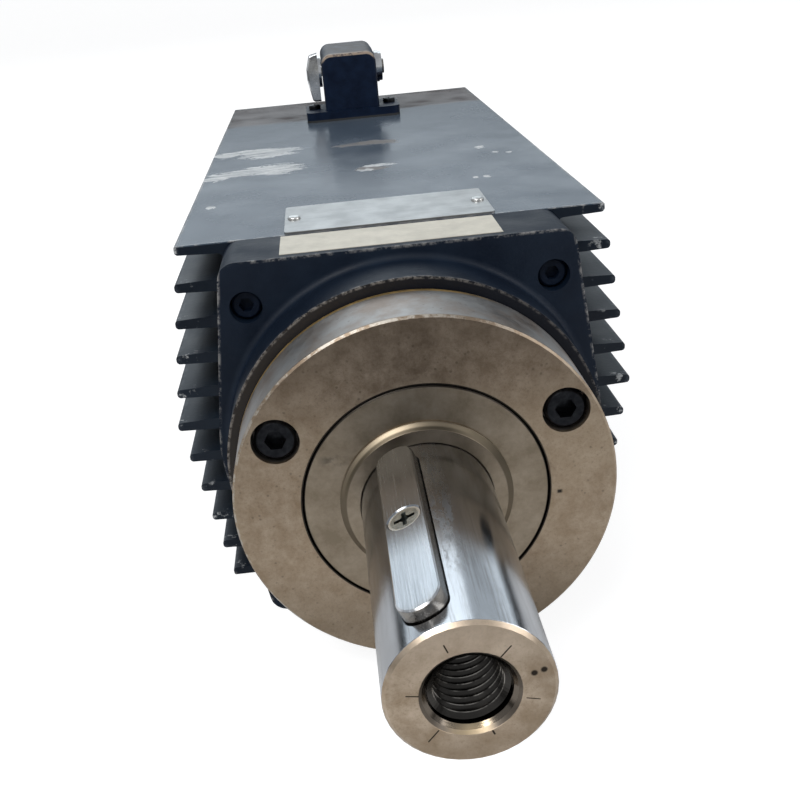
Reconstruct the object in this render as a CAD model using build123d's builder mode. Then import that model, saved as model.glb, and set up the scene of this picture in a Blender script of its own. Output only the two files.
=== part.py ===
from build123d import *
import os
from math import cos, radians, sin, sqrt, tan

# Motor spindle: a fin-cooled main spindle motor with a keyed shaft end.
# The shaft axis is the Y axis and the shaft end points to -Y. The origin is on the axis, in the plane
# where the round steel bearing cover meets the boss of the front end shield. Z points up.

# Clearances
seat_gap = 0.05            # round seats that are pressed or pushed together
running_gap = 0.08         # radial, between turning and standing pieces that guide each other
seam_gap = 0.1             # flat joints with a gasket or a paint line
screw_hole_gap = 0.3       # radial, plain holes for screws
small_hole_gap = 0.2       # radial, plain holes for the small screws
tap_spare_length = 2.0     # how far a tapped hole runs on past its screw
same = 0.01                # two radii or places closer than this are the same one

# Shaft: the steps of its seats are measured from one another
shaft_radius = 21.0
shaft_reach = 92.0         # from the face of the bearing cover to the shaft end
shaft_chamfer = 1.0
front_seat_radius = shaft_radius + 1.5            # under the shaft seal and the front bearing
front_shoulder_radius = front_seat_radius + 5.5
rotor_seat_radius = front_shoulder_radius - 2.0
rear_seat_radius = shaft_radius - 1.0
rear_neck_radius = rear_seat_radius + 2.5
encoder_stub_radius = 6.0
encoder_stub_length = 34.0
shaft_rear_land = 3.0      # behind the circlip groove

# Threaded centre hole in the shaft end
thread_radius = 10.0
thread_length = 35.0
relief_radius = thread_radius + 0.5
relief_length = 3.0
cone_mouth_radius = thread_radius + 2.4
cone_half_angle = 45.0
drill_half_angle = 59.0

# Parallel key and its screw
key_width = 12.0
key_height = 8.0
keyway_depth = 4.2
key_to_shaft_end = 5.0
key_to_cover = 7.0
key_length = shaft_reach - key_to_shaft_end - key_to_cover
key_angle = 113.8          # about the shaft axis, from +X towards +Z
key_side_gap = 0.3
key_end_gap = 0.7
key_edge_chamfer = 0.5
key_screw_radius = 2.5
key_screw_head_height = 2.6     # of the 45 degree cone under the head
key_screw_head_radius = key_screw_radius + key_screw_head_height
key_screw_sink = 0.35           # how far the head lies below the key's top
key_screw_length = 12.0
key_screw_hole_spare = 1.0
cross_recess_depth = 1.6
cross_recess_span_share = 1.2   # of the head radius
cross_recess_width_share = 0.26
cross_recess_eye_share = 0.26

# Front bearing and rear bearing
front_bearing_radius = 42.5
front_bearing_width = 19.0
rear_bearing_radius = 40.0
rear_bearing_width = 18.0
ball_count = 11
ball_share = 0.3           # ball radius, of the height between the seat and the outer rim
race_shoulder_share = 0.6  # how far each race shoulder stands towards the ball centres
bearing_end_float = 0.1
bearing_edge = 1.0
cage_side_wall = 1.4
cage_thickness_share = 0.56   # of the ball radius

# Bearing cover ring: its screws stand outside the bearing seat
cover_screw_circle_radius = front_bearing_radius + 9.1
cover_radius = cover_screw_circle_radius + 9.4
cover_length = 25.0
cover_front_chamfer = 0.7
cover_pocket_depth = 8.0
cover_web_thickness = 3.0
cover_web_radius = front_seat_radius + 2.0
cover_spigot_radius = cover_radius - 3.0
cover_spigot_length = 6.0
cover_screw_angles = (30.0, 150.0, 270.0)
cover_screw_radius = 4.0
cover_screw_head_radius = 6.5
cover_screw_length = 35.0
cover_counterbore_radius = 7.5
cover_counterbore_depth = 9.0
cover_screw_hole_radius = 4.5
cover_nose_bore_inset = 0.5

# Flinger disc on the shaft, in the cover's pocket
flinger_radius = front_bearing_radius - 3.6
cover_bore_radius = flinger_radius + 0.5
flinger_thickness = 7.0
flinger_hub_radius = shaft_radius + 6.5
flinger_hub_rise = 2.6
flinger_hub_chamfer = 2.0
flinger_edge = 0.3

# Shaft seal
seal_radius = front_seat_radius + 8.5
seal_width = 8.0
seal_shell_thickness = 1.6
seal_lining = 0.6
seal_lip_thickness = 1.4
seal_lip_root = 3.2
seal_lip_edge = 1.2

# Front end shield
boss_radius = cover_radius + 3.4
shield_half_height = boss_radius + 4.7
shield_half_width_belly = boss_radius + 4.8
shield_half_width_top = shield_half_width_belly - 10.2
shield_depth = 28.3
shield_corner_round = 6.5
shield_belly_round = 60.0
boss_gap = 2.0             # open groove between the cover's rear face and the boss lip
boss_length = 19.7
boss_root_fillet = 2.5
boss_lip_chamfer = 0.8
bearing_shoulder_radius = front_bearing_radius - 5.5
bearing_web_thickness = 6.0
housing_bore_radius = shield_half_height - 9.1
shield_cavity_radius = housing_bore_radius - 8.0
shield_spigot_length = 8.0
shield_screw_x = shield_half_width_top - 7.2
shield_screw_z = shield_half_height - 15.5
shield_screw_radius = 3.0
shield_screw_head_radius = 5.0
shield_screw_head_height = 6.0
shield_screw_length = 40.0
shield_counterbore_radius = 5.5
shield_counterbore_depth = 9.0

# Finned stator housing
housing_length = 339.0
tip_half_width_top = shield_half_width_top + 17.5
tip_half_width_belly = shield_half_width_belly + 18.1
fin_levels = 5             # fin spacings between the axis and the top or bottom plate
fin_tip_thickness = 3.2
fin_root_thickness = 4.6
fin_tip_round = 1.3
fin_root_round = 2.0
cable_hole_radius = 7.0

# Stator: the rear coil head lies under the connector
front_coil_to_shield = 15.0
rear_coil_to_shield = 44.0
coil_head_length = 32.0
core_length = (housing_length - 2 * shield_spigot_length - front_coil_to_shield - rear_coil_to_shield
               - 2 * coil_head_length)
core_bore_radius = 38.5
slot_count = 24
slot_inner_radius = core_bore_radius + 2.5
slot_depth = housing_bore_radius - slot_inner_radius - 7.0
slot_width = 5.2
slot_fill_gap = 0.2
coil_head_inner_radius = slot_inner_radius + 1.0
coil_head_outer_radius = housing_bore_radius - 3.0
coil_head_round = 5.0
coil_bar_overlap = 3.0      # how far the coil sides run on into the coil heads

# Rotor
air_gap = 0.5
end_ring_length = 10.0
end_ring_outer_radius = core_bore_radius - 2.0
end_ring_chamfer = 1.5

# Rear end
rear_shield_depth = 22.0
rear_shield_half_height = shield_half_height - 3.2   # out of sight behind the plates
rear_shield_edge_round = 1.5
rear_bearing_inset = 6.5
rear_spring_height = 2.2
rear_spring_thickness = 0.8
rear_spring_inner_radius = rear_bearing_radius - 4.5
rear_spring_slack = 0.3
rear_spring_bore_gap = 0.6
circlip_thickness = 1.75
circlip_groove_depth = 0.9
circlip_rise = 2.6
circlip_gap_angle = 40.0
bearing_plate_radius = rear_bearing_radius + 6.4
bearing_plate_thickness = 2.0
bearing_plate_screw_circle_radius = bearing_plate_radius - 3.6
bearing_plate_screw_angles = (30.0, 150.0, 270.0)
encoder_radius = 29.0
encoder_length = 30.0
encoder_collar_radius = 9.5
encoder_collar_length = 8.0
encoder_collar_chamfer = 0.6
encoder_collar_inset = 1.0
encoder_bore_gap = 1.0
encoder_foot_gap = 3.0
encoder_foot_height = 4.0
encoder_edge = 1.5
rear_cover_radius = shield_half_height - 10.1
rear_cover_length = 46.0
rear_cover_wall = 3.0
rear_cover_pillar_radius = 4.2
rear_cover_screw_circle_radius = rear_cover_radius - 8.0
rear_cover_screw_angles = (90.0, 210.0, 330.0)
rear_cover_edge_round = 4.0
small_screw_radius = 2.0
small_screw_head_radius = 3.5
small_screw_head_height = 2.4
small_screw_grip = 6.0

# Sockets and edges of the socket head screws
socket_share = 0.52
socket_depth_share = 0.5
screw_edge_share = 0.15
screw_edge_limit = 0.8

# Nameplate and blank label on top
nameplate_width = 75.0
nameplate_length = 38.6
nameplate_thickness = 0.8
nameplate_to_seam = 0.6
nameplate_corner_round = 1.5
rivet_radius = 1.3
rivet_head_radius = 2.4
rivet_head_height = 1.0
rivet_head_round = 0.8
rivet_inset = 3.4
rivet_grip = 4.0
rivet_hole_spare = 0.5
label_width = 74.5
label_length = 23.0
label_thickness = 0.2
label_to_seam = 1.8
label_shift = -1.5

# Signal connector at the rear of the top plate
connector_to_housing_end = 73.0   # from the middle of the base flange
connector_x = -1.6
base_width = 54.0
base_length = 34.0
base_thickness = 4.2
base_corner_round = 4.0
gasket_thickness = 1.2
gasket_wall = 4.0
hood_half_width = 15.5
hood_front_inset = 3.0      # behind the front edge of the base flange
hood_length = 48.0
hood_front_height = 35.2
hood_crest_height = 37.6
hood_slope_length = 28.0
hood_front_wall = 4.0
hood_round = 5.5
hood_front_round = 1.6
hood_foot_height = 2.0
mouth_half_width = 12.0
mouth_bottom_height = 9.0
mouth_top_height = 33.0
mouth_depth = 14.0
mouth_corner_round = 2.0
insert_depth = 12.0
insert_wall_gap = 0.3
insert_corner_round = 1.6
contact_radius = 1.3
contact_depth = 6.0
contact_spacing = 6.0
contacts_per_side = 3
base_screw_x = 22.0
base_screw_length = 12.0
pan_head_round = 0.9
pan_recess_span = 3.6
pan_recess_width = 0.8
pan_recess_depth = 1.2

# Locking lever of the connector
lever_pivot_shift = 11.0   # behind the middle of the base flange
lever_pivot_height = 23.4
lever_arm_thickness = 2.2
lever_eye_radius = 8.6
lever_eye_boss_thickness = 1.8
lever_arm_width = 7.0
lever_reach = 32.0
lever_rise = 2.0
lever_bar_radius = 2.0
lever_side_gap = 0.35
lever_tab_width = 7.0
lever_tab_drop = 15.5
lever_tab_rise = 11.0
lever_tab_thickness = 5.0
lever_tab_overlap = 0.5
lever_tab_slope = 2.2
lever_tab_round = 2.0
lever_tab_edge = 1.0
lever_tab_lead = 1.0           # how far the tab's front lies ahead of the eyes
lever_eye_step = 0.6
lever_pin_radius = 2.5
lever_pin_head_radius = 4.0
lever_pin_head_height = 1.2
lever_pin_depth = 3.0

# Places along the axis that follow from the sizes above
cover_face_y = -cover_length
shaft_end_y = cover_face_y - shaft_reach
flinger_rear_y = cover_face_y + flinger_thickness
seal_front_y = cover_face_y + cover_pocket_depth + cover_web_thickness
seal_rear_y = seal_front_y + seal_width
boss_face_y = boss_gap
shield_face_y = boss_face_y + boss_length
seam_y = shield_face_y + shield_depth
front_bearing_y = cover_spigot_length + boss_gap
front_bearing_end_y = front_bearing_y + front_bearing_width
housing_end_y = seam_y + housing_length
coil_front_y = seam_y + shield_spigot_length + front_coil_to_shield
core_start_y = coil_front_y + coil_head_length
core_end_y = core_start_y + core_length
coil_end_y = core_end_y + coil_head_length
rear_face_y = housing_end_y + rear_shield_depth
rear_bearing_y = rear_face_y - rear_bearing_width - rear_bearing_inset
rear_bearing_end_y = rear_bearing_y + rear_bearing_width
connector_y = housing_end_y - connector_to_housing_end
hood_front_y = connector_y - base_length / 2 + hood_front_inset
lever_pivot_y = connector_y + lever_pivot_shift
plate_top_z = shield_half_height
fin_pitch = (shield_half_height - fin_tip_thickness / 2) / fin_levels
connector_base_z = plate_top_z + gasket_thickness
connector_z = connector_base_z + base_thickness

os.makedirs("parts", exist_ok=True)


def keep(piece, label):
    """Name a finished piece and write it to its own file."""
    piece.part.label = label
    export_step(piece.part, f"parts/{label}.step")
    solids = len(piece.part.solids())
    print(f"{label}: {solids} solid{'s' if solids > 1 else ''}")


def across(y):
    """A plane square to the shaft axis: local x is X, local y is Z, and it faces -Y."""
    return Plane((0, y, 0), x_dir=(1, 0, 0), z_dir=(0, -1, 0))


def lengthwise(x):
    """A plane along the motor axis and square to X, at a distance from the connector's middle."""
    return Plane.YZ.offset(connector_x + x)


def turned(points, mode=Mode.ADD):
    """Turn an outline of (radius, y) points about the motor axis, inside a part block."""
    with BuildSketch(Plane.XY) as outline:
        with BuildLine():
            Polyline(*points, close=True)
        make_face()
    revolve(outline.sketch.faces(), axis=Axis.Y, mode=mode)


def ring(inner, outer, y_from, y_to, mode=Mode.ADD):
    """A plain ring or, with no inner radius, a disc about the motor axis."""
    turned([(inner, y_from), (outer, y_from), (outer, y_to), (inner, y_to)], mode=mode)


def round_bars(places, radius, y_from, y_to, mode=Mode.ADD):
    """Round bars or holes along Y at (x, z) places."""
    with BuildSketch(across(y_to)) as circles:
        with Locations(*places):
            Circle(radius)
    extrude(circles.sketch, amount=y_to - y_from, mode=mode)


def on_circle(radius, angles):
    """(x, z) places on a circle about the motor axis, at angles in degrees."""
    return [(radius * cos(radians(a)), radius * sin(radians(a))) for a in angles]


def hexagon_sketch(half_top, half_belly, half_height):
    """The six-cornered outline of the castings: widest at the shaft's height."""
    with BuildSketch() as outline:
        with BuildLine():
            Polyline(
                (half_top, half_height), (half_belly, 0), (half_top, -half_height),
                (-half_top, -half_height), (-half_belly, 0), (-half_top, half_height), close=True)
        make_face()
    return outline.sketch


def socket_screws(label, places, head_y, facing, sizes):
    """Socket head screws along Y. facing is -1 where the heads look to the front and 1 to the rear."""
    radius, head_radius, head_height, length = sizes
    with BuildPart() as screws:
        under_head_y = head_y - facing * head_height
        tip_y = under_head_y - facing * length
        round_bars(places, head_radius, min(head_y, under_head_y), max(head_y, under_head_y))
        crown = screws.edges().filter_by(GeomType.CIRCLE).group_by(Axis.Y)[0 if facing < 0 else -1]
        chamfer(crown, length=min(screw_edge_limit, head_radius * screw_edge_share))
        round_bars(places, radius, min(under_head_y, tip_y), max(under_head_y, tip_y))
        recess_end_y = head_y - facing * head_height * socket_depth_share
        with BuildSketch(across(max(head_y, recess_end_y))) as sockets:
            with Locations(*places):
                RegularPolygon(head_radius * socket_share, 6)
        extrude(sockets.sketch, amount=abs(head_y - recess_end_y), mode=Mode.SUBTRACT)
    keep(screws, label)


# Shaft with keyway and threaded centre hole
key_floor_radius = shaft_radius - keyway_depth
key_front_y = shaft_end_y + key_to_shaft_end
key_middle_y = key_front_y + key_length / 2
key_direction = (cos(radians(key_angle)), 0, sin(radians(key_angle)))
key_plane = Plane(
    (key_floor_radius * key_direction[0], key_middle_y, key_floor_radius * key_direction[2]),
    x_dir=(0, 1, 0), z_dir=key_direction)
key_top_plane = key_plane.offset(key_height)
circlip_y = rear_bearing_end_y + bearing_end_float
relief_start_y = shaft_end_y + (cone_mouth_radius - relief_radius) / tan(radians(cone_half_angle))
thread_start_y = relief_start_y + relief_length
thread_end_y = thread_start_y + thread_length
shaft_rear_y = circlip_y + circlip_thickness + shaft_rear_land
rotor_seat_start_y = core_start_y - end_ring_length
rotor_seat_end_y = core_end_y + end_ring_length

with BuildPart() as shaft:
    turned([
        (0, shaft_end_y), (shaft_radius - shaft_chamfer, shaft_end_y),
        (shaft_radius, shaft_end_y + shaft_chamfer), (shaft_radius, flinger_rear_y),
        (front_seat_radius, flinger_rear_y), (front_seat_radius, front_bearing_end_y),
        (front_shoulder_radius, front_bearing_end_y), (front_shoulder_radius, rotor_seat_start_y),
        (rotor_seat_radius, rotor_seat_start_y), (rotor_seat_radius, rotor_seat_end_y),
        (rear_neck_radius, rotor_seat_end_y), (rear_neck_radius, rear_bearing_y),
        (rear_seat_radius, rear_bearing_y), (rear_seat_radius, circlip_y),
        (rear_seat_radius - circlip_groove_depth, circlip_y),
        (rear_seat_radius - circlip_groove_depth, circlip_y + circlip_thickness + bearing_end_float),
        (rear_seat_radius, circlip_y + circlip_thickness + bearing_end_float),
        (rear_seat_radius, shaft_rear_y), (encoder_stub_radius, shaft_rear_y),
        (encoder_stub_radius, shaft_rear_y + encoder_stub_length),
        (0, shaft_rear_y + encoder_stub_length)])
    turned([
        (0, shaft_end_y), (cone_mouth_radius, shaft_end_y), (relief_radius, relief_start_y),
        (relief_radius, thread_start_y), (thread_radius, thread_start_y),
        (thread_radius, thread_end_y),
        (0, thread_end_y + thread_radius / tan(radians(drill_half_angle)))], mode=Mode.SUBTRACT)
    with BuildSketch(key_plane) as keyway_outline:
        SlotOverall(key_length + 2 * key_end_gap, key_width + 2 * key_side_gap)
    extrude(keyway_outline.sketch, amount=key_height, mode=Mode.SUBTRACT)
    with BuildSketch(key_plane) as screw_hole_outline:
        Circle(key_screw_radius + seat_gap)
    extrude(screw_hole_outline.sketch, amount=key_height - key_screw_length - key_screw_hole_spare,
            mode=Mode.SUBTRACT)
keep(shaft, "shaft")

key_screw_plane = Plane(key_top_plane.origin, x_dir=(0, 1, 0),
                        z_dir=Vector(0, 1, 0).cross(key_top_plane.z_dir))


def screw_turned(sink, length, gap, mode):
    """The countersunk screw's outline, or with a gap its hole, turned about the screw's axis."""
    with BuildSketch(key_screw_plane) as outline:
        with BuildLine():
            Polyline(
                (0, -sink), (key_screw_head_radius - sink + gap, -sink),
                (key_screw_radius + gap, -key_screw_head_height),
                (key_screw_radius + gap, -length), (0, -length), close=True)
        make_face()
    revolve(outline.sketch.faces(), axis=Axis(key_top_plane.origin, key_top_plane.z_dir), mode=mode)


with BuildPart() as shaft_key:
    with BuildSketch(key_plane):
        SlotOverall(key_length, key_width)
    extrude(amount=key_height)
    top_rim = shaft_key.faces().sort_by(Axis(key_plane.origin, key_plane.z_dir))[-1].edges()
    chamfer(top_rim, length=key_edge_chamfer)
    screw_turned(0, key_height, seat_gap, Mode.SUBTRACT)
keep(shaft_key, "shaft_key")

recess_span = key_screw_head_radius * cross_recess_span_share
recess_width = key_screw_head_radius * cross_recess_width_share
recess_eye_radius = key_screw_head_radius * cross_recess_eye_share
with BuildPart() as key_screw:
    screw_turned(key_screw_sink, key_screw_length, 0, Mode.ADD)
    with BuildSketch(key_top_plane.offset(-key_screw_sink)) as cross_recess:
        Rectangle(recess_span, recess_width)
        Rectangle(recess_width, recess_span)
        Circle(recess_eye_radius)
    extrude(cross_recess.sketch, amount=-cross_recess_depth, mode=Mode.SUBTRACT)
keep(key_screw, "key_screw")

# Flinger disc: turns in the cover's pocket and keeps coolant away from the seal
flinger_front_y = cover_face_y
hub_face_y = cover_face_y - flinger_hub_rise
with BuildPart() as flinger_disc:
    turned([
        (shaft_radius + seat_gap, hub_face_y + flinger_edge),
        (shaft_radius + seat_gap + flinger_edge, hub_face_y),
        (flinger_hub_radius - flinger_hub_chamfer, hub_face_y),
        (flinger_hub_radius, hub_face_y + flinger_hub_chamfer), (flinger_hub_radius, flinger_front_y),
        (flinger_radius - flinger_edge, flinger_front_y),
        (flinger_radius, flinger_front_y + flinger_edge), (flinger_radius, flinger_rear_y - seam_gap),
        (shaft_radius + seat_gap, flinger_rear_y - seam_gap)])
keep(flinger_disc, "flinger_disc")

# Bearing cover ring with its centring spigot, seal seat and three counterbored holes
nose_radius = front_bearing_radius - seat_gap
cover_nose_bore_radius = bearing_shoulder_radius - cover_nose_bore_inset
cover_screw_places = on_circle(cover_screw_circle_radius, cover_screw_angles)
with BuildPart() as bearing_cover:
    turned([
        (cover_bore_radius, cover_face_y), (cover_radius - cover_front_chamfer, cover_face_y),
        (cover_radius, cover_face_y + cover_front_chamfer), (cover_radius, 0),
        (cover_spigot_radius, 0), (cover_spigot_radius, cover_spigot_length),
        (nose_radius, cover_spigot_length), (nose_radius, front_bearing_y),
        (cover_nose_bore_radius, front_bearing_y), (cover_nose_bore_radius, seal_rear_y),
        (seal_radius + seat_gap, seal_rear_y), (seal_radius + seat_gap, seal_front_y),
        (cover_web_radius, seal_front_y), (cover_web_radius, seal_front_y - cover_web_thickness),
        (cover_bore_radius, seal_front_y - cover_web_thickness)])
    round_bars(cover_screw_places, cover_screw_hole_radius, cover_face_y, cover_spigot_length,
               mode=Mode.SUBTRACT)
    round_bars(cover_screw_places, cover_counterbore_radius, cover_face_y,
               cover_face_y + cover_counterbore_depth, mode=Mode.SUBTRACT)
keep(bearing_cover, "bearing_cover")

cover_screw_head_height = 2 * cover_screw_radius
socket_screws(
    "cover_screws", cover_screw_places,
    cover_face_y + cover_counterbore_depth - cover_screw_head_height, -1,
    (cover_screw_radius, cover_screw_head_radius, cover_screw_head_height, cover_screw_length))

# Shaft seal: a stiff shell in the cover and a lip that runs on the shaft
lip_radius = front_seat_radius + running_gap
lip_tip_y = seal_rear_y - seal_lip_edge
seal_web_y = seal_front_y + seal_shell_thickness + seal_lining
with BuildPart() as shaft_seal:
    turned([
        (seal_radius, seal_front_y + seat_gap), (seal_radius, seal_rear_y),
        (seal_radius - seal_shell_thickness, seal_rear_y), (seal_radius - seal_shell_thickness, seal_web_y),
        (lip_radius + seal_lip_root, seal_web_y), (lip_radius + 2 * seal_lip_thickness, lip_tip_y),
        (lip_radius + seal_lining, lip_tip_y), (lip_radius, lip_tip_y - seal_lip_edge),
        (lip_radius + seal_lip_thickness, seal_front_y + seat_gap)])
keep(shaft_seal, "shaft_seal")


def ball_bearing(name, y_from, bore_radius, outer_radius, width):
    """A deep groove ball bearing in four pieces: inner ring, outer ring, cage and balls."""
    ball_circle = (bore_radius + outer_radius) / 2
    ball_radius = (outer_radius - bore_radius) * ball_share
    y_mid = y_from + width / 2
    shoulder = ball_radius * race_shoulder_share
    groove_radius = ball_radius + running_gap
    cage_half_width = ball_radius + cage_side_wall
    cage_thickness = ball_radius * cage_thickness_share
    ball_angles = [360.0 / ball_count * k for k in range(ball_count)]
    ball_places = [(x, y_mid, z) for x, z in on_circle(ball_circle, ball_angles)]

    def race_groove():
        with BuildSketch(Plane.XY) as groove:
            with Locations((ball_circle, y_mid)):
                Circle(groove_radius)
        revolve(groove.sketch.faces(), axis=Axis.Y, mode=Mode.SUBTRACT)

    with BuildPart() as inner_ring:
        bore = bore_radius + seat_gap
        turned([
            (bore, y_from + bearing_edge), (bore + bearing_edge, y_from),
            (ball_circle - shoulder, y_from), (ball_circle - shoulder, y_from + width),
            (bore + bearing_edge, y_from + width), (bore, y_from + width - bearing_edge)])
        race_groove()
    keep(inner_ring, f"{name}_bearing_inner_ring")

    with BuildPart() as outer_ring:
        rim = outer_radius - seat_gap
        turned([
            (ball_circle + shoulder, y_from), (rim - bearing_edge, y_from),
            (rim, y_from + bearing_edge), (rim, y_from + width - bearing_edge),
            (rim - bearing_edge, y_from + width), (ball_circle + shoulder, y_from + width)])
        race_groove()
    keep(outer_ring, f"{name}_bearing_outer_ring")

    with BuildPart() as cage:
        ring(ball_circle - cage_thickness / 2, ball_circle + cage_thickness / 2,
             y_mid - cage_half_width, y_mid + cage_half_width)
        for angle, place in zip(ball_angles, ball_places):
            outwards = (cos(radians(angle)), 0, sin(radians(angle)))
            with Locations(Plane(place, x_dir=(0, 1, 0), z_dir=outwards)):
                Cylinder(ball_radius + running_gap, 2 * cage_thickness, mode=Mode.SUBTRACT)
    keep(cage, f"{name}_bearing_cage")

    with BuildPart() as balls:
        with Locations(*ball_places):
            Sphere(ball_radius)
    keep(balls, f"{name}_bearing_balls")


ball_bearing("front", front_bearing_y, front_seat_radius, front_bearing_radius, front_bearing_width)
ball_bearing("rear", rear_bearing_y, rear_seat_radius, rear_bearing_radius, rear_bearing_width)

# Front end shield: casting with a round boss, bearing seat and four counterbored corners
corner_places = [(sx * shield_screw_x, sz * shield_screw_z) for sx in (-1, 1) for sz in (-1, 1)]
shield_spigot_end_y = seam_y + shield_spigot_length
shield_spigot_radius = housing_bore_radius - seat_gap
with BuildPart() as front_end_shield:
    with BuildSketch(across(seam_y)):
        add(hexagon_sketch(shield_half_width_top, shield_half_width_belly, shield_half_height))
    extrude(amount=shield_depth)
    upright = front_end_shield.edges().filter_by(Axis.Y)
    fillet(upright.filter_by(lambda e: abs(e.center().Z) > shield_half_height / 2),
           radius=shield_corner_round)
    fillet(front_end_shield.edges().filter_by(Axis.Y).filter_by(lambda e: abs(e.center().Z) < 1),
           radius=shield_belly_round)
    ring(0, boss_radius, boss_face_y, shield_face_y)
    boss_root = front_end_shield.edges().filter_by(GeomType.CIRCLE).filter_by(
        lambda e: abs(e.center().Y - shield_face_y) < same and abs(e.radius - boss_radius) < same)
    fillet(boss_root, radius=boss_root_fillet)
    ring(0, shield_spigot_radius, seam_y, shield_spigot_end_y)
    turned([
        (0, boss_face_y), (boss_radius, boss_face_y), (boss_radius, boss_face_y + boss_lip_chamfer),
        (boss_radius - boss_lip_chamfer, boss_face_y), (cover_spigot_radius + seat_gap, boss_face_y),
        (cover_spigot_radius + seat_gap, cover_spigot_length + seam_gap),
        (front_bearing_radius, cover_spigot_length + seam_gap),
        (front_bearing_radius, front_bearing_end_y),
        (bearing_shoulder_radius, front_bearing_end_y),
        (bearing_shoulder_radius, front_bearing_end_y + bearing_web_thickness),
        (shield_cavity_radius, front_bearing_end_y + bearing_web_thickness),
        (shield_cavity_radius, shield_spigot_end_y), (0, shield_spigot_end_y)], mode=Mode.SUBTRACT)
    tap_end_y = cover_face_y + cover_counterbore_depth + cover_screw_length + tap_spare_length
    round_bars(cover_screw_places, cover_screw_radius + seat_gap, boss_face_y, tap_end_y,
               mode=Mode.SUBTRACT)
    round_bars(corner_places, shield_screw_radius + screw_hole_gap, shield_face_y, seam_y,
               mode=Mode.SUBTRACT)
    round_bars(corner_places, shield_counterbore_radius, shield_face_y,
               shield_face_y + shield_counterbore_depth, mode=Mode.SUBTRACT)
keep(front_end_shield, "front_end_shield")

shield_screw_sizes = (shield_screw_radius, shield_screw_head_radius, shield_screw_head_height,
                      shield_screw_length)
front_screw_head_y = shield_face_y + shield_counterbore_depth - shield_screw_head_height
socket_screws("front_shield_screws", corner_places, front_screw_head_y, -1, shield_screw_sizes)


def fin_tip_half_width(z):
    """Half the width over the fin tips at a height: widest at the shaft's height."""
    share = abs(z) / shield_half_height
    return tip_half_width_belly + (tip_half_width_top - tip_half_width_belly) * share


def wall_half_width(z):
    """Half the width over the housing wall between the fins at a height."""
    share = abs(z) / shield_half_height
    return shield_half_width_belly + (shield_half_width_top - shield_half_width_belly) * share


def fin_side():
    """The right side of the section from top to bottom: corner points with their rounding radii."""
    corners = []
    for level in range(fin_levels, -fin_levels - 1, -1):
        z = level * fin_pitch
        tip, root = fin_tip_thickness / 2, fin_root_thickness / 2
        tip_x = fin_tip_half_width(z)
        if level < fin_levels:
            corners.append(((wall_half_width(z + root), z + root), fin_root_round))
            corners.append(((tip_x, z + tip), fin_tip_round))
        else:
            corners.append(((tip_half_width_top, shield_half_height), fin_tip_round / 2))
        if level > -fin_levels:
            corners.append(((tip_x, z - tip), fin_tip_round))
            corners.append(((wall_half_width(z - root), z - root), fin_root_round))
        else:
            corners.append(((tip_half_width_top, -shield_half_height), fin_tip_round / 2))
    return corners


# Stator housing: cooling fins along both sides and a flat plate at the top and the bottom
screw_reach = shield_screw_length - (shield_depth - shield_counterbore_depth)
right_side = fin_side()
left_side = [((-x, z), rounding) for (x, z), rounding in reversed(right_side)]
section_corners = right_side + left_side
with BuildPart() as stator_housing:
    with BuildSketch(across(housing_end_y)):
        with BuildLine():
            FilletPolyline(*[point for point, rounding in section_corners],
                           radius=[rounding for point, rounding in section_corners], close=True)
        make_face()
    extrude(amount=housing_length)
    ring(0, housing_bore_radius, seam_y, housing_end_y, mode=Mode.SUBTRACT)
    tap_radius = shield_screw_radius + seat_gap
    round_bars(corner_places, tap_radius, seam_y, seam_y + screw_reach + tap_spare_length, mode=Mode.SUBTRACT)
    round_bars(corner_places, tap_radius, housing_end_y - screw_reach - tap_spare_length, housing_end_y,
               mode=Mode.SUBTRACT)
    with BuildSketch(Plane.XY.offset(plate_top_z)):
        with Locations((connector_x, connector_y)):
            Circle(cable_hole_radius)
    extrude(amount=-(plate_top_z - housing_bore_radius + cable_hole_radius), mode=Mode.SUBTRACT)
    rivet_places = [
        (side * (nameplate_width / 2 - rivet_inset), seam_y + nameplate_to_seam + nameplate_length / 2)
        for side in (-1, 1)]
    with BuildSketch(Plane.XY.offset(plate_top_z)):
        with Locations(*rivet_places):
            Circle(rivet_radius + seat_gap)
    extrude(amount=-rivet_grip - rivet_hole_spare, mode=Mode.SUBTRACT)
    base_screw_places = [(connector_x + side * base_screw_x, connector_y) for side in (-1, 1)]
    with BuildSketch(Plane.XY.offset(plate_top_z)):
        with Locations(*base_screw_places):
            Circle(small_screw_radius + seat_gap)
    base_screw_bite = base_screw_length - base_thickness - gasket_thickness
    extrude(amount=-base_screw_bite - tap_spare_length, mode=Mode.SUBTRACT)
keep(stator_housing, "stator_housing")

# Stator core with open slots, and the winding that fills them
slot_angles = [360.0 / slot_count * k for k in range(slot_count)]


def slot_bars(clearance, y_from, y_to, mode):
    """Radial bars the shape of the core's slots, smaller by a clearance all round."""
    middle = slot_inner_radius + slot_depth / 2
    with BuildSketch(across(y_to)) as bars:
        for angle in slot_angles:
            with Locations(Location((middle * cos(radians(angle)), middle * sin(radians(angle))), angle)):
                Rectangle(slot_depth - 2 * clearance, slot_width - 2 * clearance)
    extrude(bars.sketch, amount=y_to - y_from, mode=mode)


with BuildPart() as stator_core:
    ring(core_bore_radius, housing_bore_radius - seat_gap, core_start_y, core_end_y)
    slot_bars(0, core_start_y, core_end_y, Mode.SUBTRACT)
keep(stator_core, "stator_core")

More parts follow.
